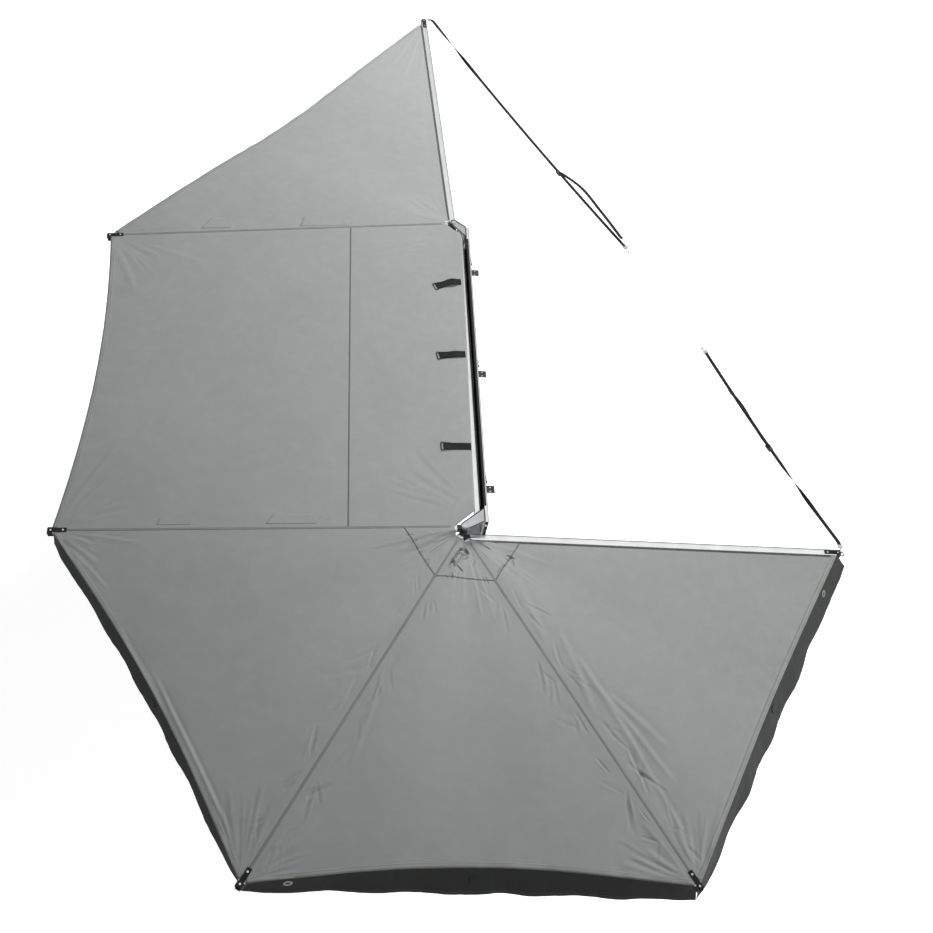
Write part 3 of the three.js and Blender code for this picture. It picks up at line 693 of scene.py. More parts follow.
class Workshop:
    """Makes meshes, gives them finishes and remembers what it has made."""

    def __init__(self) -> None:
        """Builds the shared effects and every finish."""
        effects = Effects()
        self.materials = {finish: finish.value.material(effects) for finish in Finish}
        self.made: list[bpy.types.Object] = []

    def mesh(
        self, name: str, points: np.ndarray, faces: list, finish: Finish,
        flat: np.ndarray | None = None, smooth: bool = True,
    ) -> bpy.types.Object:
        """Makes an object from points and faces.

        Args:
            name: Name of the piece.
            points: Points, in metres, as an array of rows.
            faces: Lists of point numbers.
            finish: The piece's finish.
            flat: Flat cloth coordinates of each point, in metres.
            smooth: Whether faces are shaded smooth.

        Returns:
            The object, at the origin.
        """
        data = bpy.data.meshes.new(name)
        data.from_pydata(points.reshape(-1, 3).tolist(), [], faces)
        data.validate()
        if flat is not None:
            corners = np.empty(len(data.loops), np.int32)
            data.loops.foreach_get("vertex_index", corners)
            layer = data.uv_layers.new(name="flat")
            layer.data.foreach_set("uv", flat.reshape(-1, 2)[corners].astype(np.float32).ravel())
        data.polygons.foreach_set("use_smooth", np.full(len(data.polygons), smooth))
        data.materials.append(self.materials[finish])
        thing = bpy.data.objects.new(name, data)
        bpy.context.scene.collection.objects.link(thing)
        self.made.append(thing)
        return thing

    def shell(
        self, name: str, over: np.ndarray, under: np.ndarray, finish: Finish, slot: str,
        flat: np.ndarray | None = None, crumple: np.ndarray | None = None,
    ) -> bpy.types.Object:
        """Closed sheet between two equal grids of points, with its faces turned outward.

        Args:
            name: Name of the piece.
            over: Points of one face, rows by columns by three.
            under: Points of the other face, in the same order.
            finish: The piece's finish.
            slot: The record's material slot; not used.
            flat: Flat cloth coordinates, rows by columns by two.
            crumple: Share of fine crumpling at each point, rows by columns.

        Returns:
            The object.
        """
        rows, columns = over.shape[:2]
        count = rows * columns
        index = np.arange(count).reshape(rows, columns)
        a, b, c, d = index[:-1, :-1], index[1:, :-1], index[1:, 1:], index[:-1, 1:]
        top = np.stack([a, b, c, d], -1).reshape(-1, 4)
        low = np.stack([a, d, c, b], -1).reshape(-1, 4) + count
        loop = np.concatenate([index[0, :], index[1:, -1], index[-1, -2::-1], index[-2:0:-1, 0]])
        after = np.roll(loop, -1)
        rim = np.stack([loop, after, after + count, loop + count], -1)
        faces = np.concatenate([top, low, rim])
        points = np.concatenate([over.reshape(-1, 3), under.reshape(-1, 3)])
        side = np.cross(over[1:, :-1] - over[:-1, :-1], over[:-1, 1:] - over[:-1, :-1])
        lift = (over - under)[:-1, :-1]
        if float((side * lift).sum()) < 0:
            faces = faces[:, ::-1]
        doubled = None if flat is None else np.concatenate([flat.reshape(-1, 2)] * 2)
        thing = self.mesh(name, points, faces.tolist(), finish, doubled)
        if crumple is not None:
            mark(thing.data, "crumple", np.tile(crumple.ravel(), 2))
        return thing

    def solid(
        self, name: str, points: np.ndarray, faces: list, finish: Finish, slot: str,
        smooth: bool = False,
    ) -> bpy.types.Object:
        """Small closed piece with its faces turned outward and its hard edges marked."""
        return self.upright(self.mesh(name, points, faces, finish, smooth=smooth))

    def swept(
        self, name: str, line: np.ndarray, section: np.ndarray, finish: Finish, slot: str,
        sides: np.ndarray, ups: np.ndarray, ring: bool = False,
    ) -> bpy.types.Object:
        """Closed bar: a profile carried along a line by the line's side and up vectors.

        Args:
            name: Name of the piece.
            line: Points of the centre line.
            section: Outline of the profile, counter-clockwise, as (side, up) distances.
            finish: The piece's finish.
            slot: The record's material slot; not used.
            sides: Unit vector to the side, one for all or one for each point.
            ups: Unit vector up, one for all or one for each point.
            ring: Whether the line's end joins its start.

        Returns:
            The object.
        """
        side, up = (np.broadcast_to(each, line.shape)[:, None] for each in (sides, ups))
        points = line[:, None] + side * section[None, :, :1] + up * section[None, :, 1:]
        rows, columns = points.shape[:2]
        index = np.arange(rows * columns).reshape(rows, columns)
        steps = np.concatenate([index, index[:1]]) if ring else index
        after = np.roll(steps, -1, axis=1)
        around = np.stack([steps[:-1], after[:-1], after[1:], steps[1:]], -1).reshape(-1, 4)
        flat = paired(distances(line)[:, None], section[None, :, 0])
        faces = around.tolist() + ([] if ring else [index[0, ::-1].tolist(), index[-1].tolist()])
        return self.upright(self.mesh(name, points, faces, finish, flat))

    @staticmethod
    def upright(thing: bpy.types.Object) -> bpy.types.Object:
        """Turns a closed mesh's faces outward and marks its hard edges.

        Args:
            thing: The piece.

        Returns:
            The same piece.
        """
        work = bmesh.new()
        work.from_mesh(thing.data)
        bmesh.ops.recalc_face_normals(work, faces=work.faces)
        if work.calc_volume(signed=True) < 0:
            bmesh.ops.reverse_faces(work, faces=work.faces)
        for edge in work.edges:
            edge.smooth = edge.calc_face_angle(0.0) < HARD_EDGE
        work.to_mesh(thing.data)
        work.free()
        return thing


def turned_frame(line: np.ndarray) -> tuple[np.ndarray, np.ndarray]:
    """Side and up vectors along a line: the run crossed with Z, and that crossed with the run.

    Args:
        line: Points of the line.

    Returns:
        The unit vectors to the side, and up.
    """
    run = runs(line)
    side = unit(np.cross(run, UP))
    return side, np.cross(side, run)


def flat_section(width: float, thick: float) -> np.ndarray:
    """Outline of flat webbing: a flat box with rounded short sides and points across its faces.

    Args:
        width: Width of the webbing.
        thick: Thickness of the webbing.

    Returns:
        Points as (side, up) rows, counter-clockwise.
    """
    w, t = width / 2, thick / 2
    across = np.linspace(-1.0, 1.0, 7) * (w - t)
    turn = np.linspace(-math.pi / 2, math.pi / 2, 5)[1:-1]
    right = np.stack([w - t + t * np.cos(turn), t * np.sin(turn)], 1)
    low = np.stack([across, np.full(7, -t)], 1)
    high = np.stack([across[::-1], np.full(7, t)], 1)
    return np.concatenate([low, right, high, -right])


def round_section(radius: float, sides: int) -> np.ndarray:
    """Circle as (side, up) rows, counter-clockwise."""
    turn = np.linspace(0.0, math.tau, sides, endpoint=False)
    return np.stack([radius * np.cos(turn), radius * np.sin(turn)], 1)


def block(size: tuple[float, float, float], bevel: float) -> tuple[np.ndarray, list]:
    """Box centred on the origin with its edges cut, as the hull of its 24 inset corners.

    Args:
        size: Lengths along x, y and z.
        bevel: How far the edges are cut back.

    Returns:
        The points and the faces.
    """
    work = bmesh.new()
    half = np.array(size) / 2
    for signs in np.array(np.meshgrid([-1, 1], [-1, 1], [-1, 1])).T.reshape(-1, 3):
        for axis in range(3):
            point = (half - bevel) * signs
            point[axis] = half[axis] * signs[axis]
            work.verts.new(point.tolist())
    bmesh.ops.convex_hull(work, input=work.verts)
    bmesh.ops.dissolve_limit(work, angle_limit=0.01, verts=work.verts, edges=work.edges)
    bmesh.ops.recalc_face_normals(work, faces=work.faces)
    work.verts.index_update()
    points = np.array([v.co for v in work.verts])
    faces = [[v.index for v in face.verts] for face in work.faces]
    work.free()
    return points, faces


# Fans


@dataclass(frozen=True)
class Fan:
    """Cloth that opens like a fan between two arms of one hub."""

    first: str
    second: str
    hub: tuple[float, float]
    start: float
    span: float

    def share(self, points: np.ndarray) -> np.ndarray:
        """Share of the way round from the first arm to the second: the plan angle over the span.

        Args:
            points: Points, as rows.

        Returns:
            Shares from 0 to 1.
        """
        turn = np.arctan2(points[:, 1] - self.hub[1], points[:, 0] - self.hub[0]) - self.start
        turn = (turn + math.pi) % math.tau - math.pi
        return np.clip(turn / self.span, 0.0, 1.0)

    def bend(self, thing: bpy.types.Object, rigid: bool = False) -> bpy.types.Object:
        """Bakes a piece's placement into its mesh.

        Args:
            thing: The piece, with no parent.
            rigid: Whether the piece turns as one, by the share at its middle; not used.

        Returns:
            The piece.
        """
        points = points_of(thing.data)
        ends = (
            (self.hub[0] + math.cos(turn), self.hub[1] + math.sin(turn), 0.1)
            for turn in (self.start, self.start + self.span)
        )
        next(ends)
        next(ends)
        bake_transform(thing)
        return thing


# Cloth


@dataclass(frozen=True)
class Side:
    """One side of a panel: an arm, its plan angle, the cloth's height and distance from its axis."""

    arm: str
    angle: float
    height: float
    offset: float


def side_at(arm: str) -> Side:
    """Places a panel's side on top of an arm, or in the track of an end arm.

    Args:
        arm: Name of the arm.

    Returns:
        The side.
    """
    _, angle, level = ARMS[arm]
    turn, top = math.radians(angle), level_top(level)
    if arm in END_ARMS:
        return Side(arm, turn, top - TRACK_SEAT, ARM_HALF + CLOTH_GAP)
    return Side(arm, turn, top + CLOTH_GAP, PANEL_GAP)


@dataclass(frozen=True)
class Crease:
    """A straight soft fold in plan, from one point to another, with a trough on one side."""

    start: tuple[float, float]
    end: tuple[float, float]
    width: float
    height: float

    def lift(self, x: np.ndarray, y: np.ndarray) -> np.ndarray:
        """Height of the fold: a bell across it less one beside it, faded over a quarter at each end.

        Args:
            x: First plan coordinate.
            y: Second plan coordinate.

        Returns:
            The heights.
        """
        run = np.array(self.end) - np.array(self.start)
        length = float(np.hypot(*run))
        run = run / length
        along = ((x - self.start[0]) * run[0] + (y - self.start[1]) * run[1]) / length
        across = (x - self.start[0]) * -run[1] + (y - self.start[1]) * run[0]
        across = across + 0.12 * self.width * np.sin(along * 9.0)
        fade = eased(np.clip(np.minimum(along, 1.0 - along) * 4.0, 0.0, 1.0))
        trough = 0.55 * bell(across - 1.5 * self.width, self.width)
        return self.height * fade * (bell(across, self.width) - trough)


def fan_creases(
    centre: np.ndarray, turns: tuple[float, float], reach: tuple[float, float],
    count: int, width: float, height: float, seed: int,
) -> list[Crease]:
    """Folds that run out from a point.

    Args:
        centre: Plan point that the folds run from.
        turns: Smallest and largest plan angle.
        reach: Nearest and furthest distance.
        count: Number of folds.
        width: Usual half width of a fold.
        height: Usual height of a fold.
        seed: Number that fixes the draw.

    Returns:
        The folds.
    """
    rng = np.random.default_rng(seed)
    made = []
    for turn in np.linspace(turns[0], turns[1], count + 2)[1:-1]:
        angle = turn + rng.uniform(-0.4, 0.4) * (turns[1] - turns[0]) / (count + 1)
        near = reach[0] * rng.uniform(0.6, 1.4)
        far = near + (reach[1] - reach[0]) * rng.uniform(0.45, 1.0)
        a, b = centre + heading(angle) * near, centre + heading(angle) * far
        wide, high = width * rng.uniform(0.7, 1.4), height * rng.uniform(0.5, 1.2)
        made.append(Crease(tuple(a), tuple(b), wide, high))
    return made


# Depth to which the under face of a sewn layer lies in the cloth
SEWN_IN = 0.0004


class Panel:
    """A piece of canopy cloth over two shares: out from its inner edge, and across it."""

    name: str
    node: str

    # Height and length of the broad and the short waves, and height of the hem's ripples
    BROAD = (0.0045, 0.55)
    SHORT = (0.0016, 0.17)
    RIPPLE = 0.0024

    def __init__(self, seed: int) -> None:
        """Draws the panel's unevenness and starts an empty list of folds."""
        self.rough = Unevenness(seed)
        self.creases: list[Crease] = []

    def smooth_at(self, out: np.ndarray, across: np.ndarray) -> np.ndarray:
        """Points of the taut cloth's upper face."""
        raise NotImplementedError

    def free_at(self, point: np.ndarray, out: np.ndarray, across: np.ndarray) -> np.ndarray:
        """How free the cloth is to fold, from 0 where something holds it to 1."""
        raise NotImplementedError

    def carry(self, thing: bpy.types.Object) -> bpy.types.Object:
        """Finishes a piece that belongs to the panel."""
        raise NotImplementedError

    def named(self, what: str) -> str:
        """Name of a piece that belongs to the panel."""
        return self.name.replace("canopy_cloth", what)

    def at(self, out: np.ndarray, across: np.ndarray) -> np.ndarray:
        """Points of the cloth's upper face: the taut cloth, plus waves, hem ripples and folds.

        Args:
            out: Shares of the way out.
            across: Shares of the way across.

        Returns:
            Points with three coordinates in the last place.
        """
        out, across = np.broadcast_arrays(np.asarray(out, float), np.asarray(across, float))
        point = self.smooth_at(out, across)
        x, y = point[..., 0], point[..., 1]
        free = self.free_at(point, out, across)
        waves = self.BROAD[0] * self.rough.at(x, y, self.BROAD[1])
        waves = waves + self.SHORT[0] * self.rough.at(x + 3.1, y - 1.7, self.SHORT[1])
        hem = self.RIPPLE * self.rough.at(across * 40.0, out * 4.0, 1.0) * bell(1.0 - out, 0.045)
        folds = sum((crease.lift(x, y) for crease in self.creases), np.zeros_like(x))
        hem, folds = hem * np.minimum(free * 3.0, 1.0), folds * np.minimum(free * 12.0, 1.0)
        point[..., 2] += free * waves + hem + folds
        return point

    def build(self, shop: Workshop, rows: np.ndarray, columns: np.ndarray) -> bpy.types.Object:
        """Makes the panel's closed sheet on a grid.

        Args:
            shop: The workshop.
            rows: Shares of the way out.
            columns: Shares of the way across.

        Returns:
            The object, which replaces its solid.
        """
        over = self.at(rows[:, None], columns[None, :])
        under = over - (CLOTH - 0.0002) * UP
        flat = over[..., :2] @ np.array(self.grain_directions()).T
        crumple = self.crumple(over, rows, columns)
        thing = shop.shell(self.name, over, under, Finish.CANOPY, "canopy_fabric", flat, crumple)
        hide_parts(self.node)
        return self.carry(thing)

    def grain_directions(self) -> tuple[tuple[float, float], tuple[float, float]]:
        """Plan directions of the warp and the weft."""
        return (1.0, 0.0), (0.0, 1.0)

    def crumple(self, over: np.ndarray, rows: np.ndarray, columns: np.ndarray) -> np.ndarray:
        """Share of fine crumpling: strongest at the hem and where the cloth is held.

        Args:
            over: Points of the cloth, rows by columns by three.
            rows: Shares of the way out.
            columns: Shares of the way across.

        Returns:
            Shares from 0 to 1, rows by columns.
        """
        edge = bell(1.0 - rows[:, None], 0.03) + 0.8 * bell(rows[:, None], 0.08)
        sides = bell(columns[None, :], 0.03) + bell(1.0 - columns[None, :], 0.03)
        return np.clip(0.05 + 0.5 * edge + 0.3 * sides, 0.0, 1.0) * np.ones(over.shape[:2])

    def ribbon(
        self, shop: Workshop, name: str, out: np.ndarray, across: np.ndarray, width: float,
        finish: Finish, slot: str = "canopy_fabric", rise: float = 0.0007, lean: float = 0.0,
    ) -> bpy.types.Object:
        """Tape sewn on the panel: a line through shares of the panel, its face along the cloth.

        Args:
            shop: The workshop.
            name: Name of the piece.
            out: Shares of the way out along the tape.
            across: Shares of the way across along the tape.
            width: Width of the tape.
            finish: The tape's finish.
            slot: The record's material slot; not used.
            rise: Height of the tape's middle above the cloth.
            lean: Shift of the tape to its side, in metres.

        Returns:
            The object.
        """
        line = self.at(out, across)
        side = unit(np.cross(UP, runs(line)))
        steps = np.linspace(-1.0, 1.0, 7)
        aside = steps * width / 2 + lean
        bow = rise * (1.0 - 0.75 * np.abs(steps) ** 6)
        over = line[:, None] + side[:, None] * aside[None, :, None]
        over[..., 2] += self.slope(out, across, side)[:, None] * aside[None, :]
        over[..., 2] += bow
        under = over.copy()
        under[..., 2] = over[..., 2] - bow - SEWN_IN
        flat = paired(distances(line)[:, None], steps[None, :] * width / 2)
        return shop.shell(name, over, under, finish, slot, flat)

    def patch(
        self, shop: Workshop, name: str, out: np.ndarray, across: np.ndarray, rise: float = 0.0005,
    ) -> bpy.types.Object:
        """Second layer of cloth sewn flat on the panel, over a grid of its shares.

        Args:
            shop: The workshop.
            name: Name of the piece.
            out: Shares of the way out, rows by columns.
            across: Shares of the way across, rows by columns.
            rise: Height of its face over the cloth.

        Returns:
            The object.
        """
        line = self.at(out, across)
        flat = line[..., :2] @ np.array(self.grain_directions()).T
        crumple = np.full(line.shape[:2], 0.35)
        over, under = line + rise * UP, line - SEWN_IN * UP
        return self.carry(
            shop.shell(name, over, under, Finish.CANOPY, "canopy_fabric", flat, crumple))

    def slope(self, out: np.ndarray, across: np.ndarray, side: np.ndarray) -> np.ndarray:
        """Rise of the cloth per metre to the side, from the cloth a little further out and across.

        Args:
            out: Shares of the way out.
            across: Shares of the way across.
            side: Unit vectors to the side.

        Returns:
            The rises.
        """
        step = 0.004
        here = self.at(out, across)
        o = np.where(out > 0.5, -step, step)
        a = np.where(across > 0.5, -step, step)
        by_out = self.at(out + o, across) - here
        by_across = self.at(out, across + a) - here
        # The side vector as a sum of the two steps, solved in plan
        det = by_out[:, 0] * by_across[:, 1] - by_out[:, 1] * by_across[:, 0]
        p = (side[:, 0] * by_across[:, 1] - side[:, 1] * by_across[:, 0]) / det
        q = (by_out[:, 0] * side[:, 1] - by_out[:, 1] * side[:, 0]) / det
        return p * by_out[:, 2] + q * by_across[:, 2]


# Power of the share out by which a fan's cloth grows from round to straight-edged
GROWTH = 1.0 / 1.4


class SectorPanel(Panel):
    """Canopy panel between two arms of one hub."""

    def __init__(
        self, name: str, node: str, hub: np.ndarray, first: Side, second: Side, dip: float,
        seed: int,
    ) -> None:
        """Keeps the panel's two sides.

        Args:
            name: Name of the piece.
            node: Solid that it replaces.
            hub: Plan place of the hub.
            first: Side at the higher arm.
            second: Side at the lower arm.
            dip: How far the outer edge dips in.
            seed: Number that fixes the cloth's unevenness.
        """
        super().__init__(seed)
        self.name, self.node = name, node
        self.hub, self.first, self.second, self.dip = hub, first, second, dip
        self.span = second.angle - first.angle
        self.fan = Fan(first.arm, second.arm, tuple(hub), first.angle, self.span)

    def grain_directions(self) -> tuple[tuple[float, float], tuple[float, float]]:
        """Warp along the panel's middle and weft square to it."""
        c, s = heading(self.first.angle + self.span / 2)
        return (float(c), float(s)), (float(-s), float(c))

    def carry(self, thing: bpy.types.Object) -> bpy.types.Object:
        """Passes a piece to the fan's bend, which bakes its placement."""
        return self.fan.bend(thing)

    def sides_of(self, base: np.ndarray) -> tuple[np.ndarray, np.ndarray]:
        """Turns of both sides of the cloth from the first arm, at a base reach."""
        near, far = (np.arcsin(side.offset / base) for side in (self.first, self.second))
        return near, abs(self.span) - far

    def parts(self, out: np.ndarray, across: np.ndarray) -> tuple[np.ndarray, np.ndarray, np.ndarray]:
        """Places on the panel as reach and turn.

        Args:
            out: Shares of the way out.
            across: Shares of the way across.

        Returns:
            Base reach, turn from the first arm and share of the way between the shoulders.
        """
        base = CLOTH_START + CLOTH_RUN * out
        width = abs(self.span)
        low, high = self.sides_of(base)
        turn = low + (high - low) * across
        start = np.arcsin(max(self.first.offset, SHOULDER) / base)
        end = width - np.arcsin(max(self.second.offset, SHOULDER) / base)
        return base, turn, (turn - start) / (end - start)

    def smooth_at(self, out: np.ndarray, across: np.ndarray) -> np.ndarray:
        """Taut cloth: reach along a turn is the base times a share that grows to the chord between
        the arm tips, less the dip of the outer edge. Height falls by an eased share, less the sag.

        Args:
            out: Shares of the way out.
            across: Shares of the way across.

        Returns:
            Points with three coordinates in the last place.
        """
        base, turn, fall = self.parts(out, across)
        width = abs(self.span)
        u = turn / width
        grown = out**GROWTH
        chord = np.cos(width / 2) / np.cos(width * (u - 0.5))
        dip = self.dip * 4.0 * u * (1.0 - u) * grown**3
        reach = base * (1.0 + (chord - 1.0) * grown**2) - dip
        angle = self.first.angle + np.sign(self.span) * turn
        down = eased(fall)
        z = self.first.height + (self.second.height - self.first.height) * down
        z = z - CLOTH_SAG * np.sin(math.pi * down) ** 2 * grown + CLOTH
        x, y = self.hub[0] + reach * np.cos(angle), self.hub[1] + reach * np.sin(angle)
        return np.stack([x, y, z], -1)

    def free_at(self, point: np.ndarray, out: np.ndarray, across: np.ndarray) -> np.ndarray:
        """Freedom to fold: eased distance from both shoulders, and from the hub.

        Args:
            point: Points of the taut cloth; not used.
            out: Shares of the way out.
            across: Shares of the way across.

        Returns:
            Shares from 0 to 1.
        """
        base, turn, _ = self.parts(out, across)
        near = base * turn - SHOULDER
        far = base * (abs(self.span) - turn) - SHOULDER
        return eased(near / CLOTH_FREE) * eased(far / CLOTH_FREE) * eased(out / 0.05)

    def across_of(self, out: np.ndarray, turn: np.ndarray) -> np.ndarray:
        """Share across at a turn from the first arm."""
        low, high = self.sides_of(CLOTH_START + CLOTH_RUN * out)
        return (turn - low) / (high - low)


class SidePanel(Panel):
    """Canopy panel between the beam, the first rear arm and the front side arm."""

    name, node = "canopy_cloth_side", "canopy_side"

    # Half length of the part held by the beam, and dip of the outer edge
    HELD = 1.136
    DIP = 0.074

    def __init__(self, seed: int) -> None:
        """Works out the panel's corners.

        Args:
            seed: Number that fixes the cloth's unevenness.
        """
        super().__init__(seed)
        near, far = [], []
        for name, way in (("arm_1", -1.0), ("front_side_arm", 1.0)):
            hub, angle, _ = ARMS[name]
            turn = math.radians(angle)
            aside = np.array([-math.sin(turn), math.cos(turn)]) * (way * PANEL_GAP)
            near.append(hub + heading(turn) * CLOTH_START + aside)
            far.append(hub + heading(turn) * CLOTH_REACH + aside)
        held = [
            (BEAM_MIDDLE - BEAM_HALF + 0.001, -self.HELD),
            (BEAM_MIDDLE + BEAM_HALF - 0.005, self.HELD),
        ]
        self.inner = np.array([near[0], *held, near[1]])
        self.far = np.array(far)
        corner = 0.11 / 2.492
        self.stops = np.array([0.0, corner, 1.0 - corner, 1.0])

    def carry(self, thing: bpy.types.Object) -> bpy.types.Object:
        """Hangs a piece on the rail's body and gives it a mesh of its own.

        Args:
            thing: The piece.

        Returns:
            The same piece.
        """
        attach(thing, "rail")
        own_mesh(thing)
        return thing

    def smooth_at(self, out: np.ndarray, across: np.ndarray) -> np.ndarray:
        """Taut cloth: straight from the inner line to the outer one, which dips in, less the sag.

        Args:
            out: Shares of the way out.
            across: Shares of the way across.

        Returns:
            Points with three coordinates in the last place.
        """
        near = np.stack([np.interp(across, self.stops, self.inner[:, k]) for k in (0, 1)], -1)
        far = self.far[0] + (self.far[1] - self.far[0]) * across[..., None]
        plan = near + (far - near) * out[..., None]
        x = plan[..., 0] + self.DIP * 4.0 * across * (1.0 - across) * out**3
        sag = CLOTH_SAG * np.sin(math.pi * across) ** 2 * np.sin(math.pi * 0.75 * out) ** 2
        return np.stack([x, plan[..., 1], STACK_TOP + CLOTH_GAP + CLOTH - sag], -1)

    def out_at(self, x: float, across: np.ndarray) -> np.ndarray:
        """Shares of the way out where the cloth crosses a line of one x, by halving the range.

        Args:
            x: Place of the line.
            across: Shares of the way across.

        Returns:
            The shares.
        """
        low, high = np.zeros_like(across), np.ones_like(across)
        for _ in range(24):
            middle = (low + high) / 2
            beyond = self.smooth_at(middle, across)[:, 0] < x
            low, high = np.where(beyond, low, middle), np.where(beyond, middle, high)
        return (low + high) / 2

    def free_at(self, point: np.ndarray, out: np.ndarray, across: np.ndarray) -> np.ndarray:
        """Freedom to fold: eased distance from both arms, from the beam and from the straps.

        Args:
            point: Points of the taut cloth.
            out: Shares of the way out; not used.
            across: Shares of the way across; not used.

        Returns:
            Shares from 0 to 1.
        """
        x, y = point[..., 0], point[..., 1]
        held = sum(bell(x + 0.19, 0.15) * bell(y - place, 0.05) for place in STRAPS.values())
        # Slopes of arm 1 and of the front side arm in plan
        rear = y - (REAR_HUB[1] - 0.0349 * (REAR_HUB[0] - x)) - SHOULDER
        front = (FRONT_HUB[1] - 0.1228 * (FRONT_HUB[0] - x)) - y - SHOULDER
        beam = (BEAM_MIDDLE - BEAM_HALF) - x
        free = eased(rear / CLOTH_FREE) * eased(front / CLOTH_FREE) * eased(beam / 0.05)
        return free * np.clip(1.0 - 1.3 * held, 0.0, 1.0)


def crowded(count: int, ends: float = 0.85) -> np.ndarray:
    """Shares from 0 to 1, closer at both ends: t less the sine of its turn times ends over a turn."""
    t = np.linspace(0.0, 1.0, count)
    return t - ends * np.sin(math.tau * t) / math.tau


# Folds on the panels, each as its start and end in plan, half width and height
LEFT_FOLDS = (
    ((-1.900, -2.137), (-1.395, -3.093), 0.012, 0.0045),
    ((-2.100, -1.900), (-1.780, -2.420), 0.012, 0.003),
)
REAR_HUB_FOLDS = (
    ((-0.208, -1.272), (-0.160, -1.412), 0.0100, -0.024),
    ((-0.290, -1.366), (-0.170, -1.380), 0.007, -0.016),
    ((-0.186, -1.333), (-0.295, -1.518), 0.0075, -0.016),
    ((-0.180, -1.366), (-0.262, -1.505), 0.008, 0.010),
    ((-0.178, -1.312), (-0.092, -1.370), 0.009, -0.019),
    ((-0.264, -1.420), (-0.251, -1.504), 0.007, -0.011),
    ((-0.250, -1.466), (-0.196, -1.524), 0.006, -0.007),
    ((-0.288, -1.466), (-0.340, -1.530), 0.006, -0.006),
    ((-0.235, -1.400), (-0.155, -1.406), 0.007, 0.010),
    ((-0.155, -1.322), (-0.120, -1.420), 0.008, -0.011),
    ((-0.150, -1.400), (-0.200, -1.440), 0.006, 0.006),
    ((-0.120, -1.420), (-0.140, -1.480), 0.006, -0.005),
)
REAR_FOLDS = (
    ((-0.60, -1.95), (-0.86, -2.75), 0.016, 0.0024),
    ((0.17, -1.9), (0.62, -2.75), 0.016, 0.0022),
)
RIGHT_HUB_FOLDS = (
    ((0.096, -1.370), (0.110, -1.455), 0.007, -0.010),
    ((0.055, -1.445), (-0.004, -1.537), 0.008, -0.009),
    ((-0.105, -1.295), (-0.015, -1.352), 0.009, -0.011),
)
# Folds beside arm 3: distance from the arm, nearest and furthest reach, and lean toward the arm
LONG_FOLDS = (
    (0.08, 0.75, 1.35, 0.09), (0.14, 0.9, 1.75, 0.02), (0.2, 1.1, 1.9, -0.05),
    (0.1, 1.5, 2.15, 0.04), (0.27, 1.2, 1.7, -0.1), (0.06, 0.45, 0.85, 0.05),
)
# Ties of the cloth to an arm: reach, strength and number of folds
TIES = ((0.55, 0.5, 3), (1.0, 1.0, 6), (1.34, 0.5, 3), (1.72, 1.0, 6), (2.06, 0.6, 3))
# Pockets beside two arms: reach from and to, and distance across from and to, all as shares
SIDE_POCKETS = {
    "side_rear_outer": (0.67, 0.755, 0.012, 0.03),
    "side_rear_inner": (0.365, 0.49, 0.012, 0.04),
}
FRONT_POCKETS = {
    "front_outer": (0.66, 0.75, 0.012, 0.05),
    "front_inner": (0.3, 0.45, 0.014, 0.06),
}


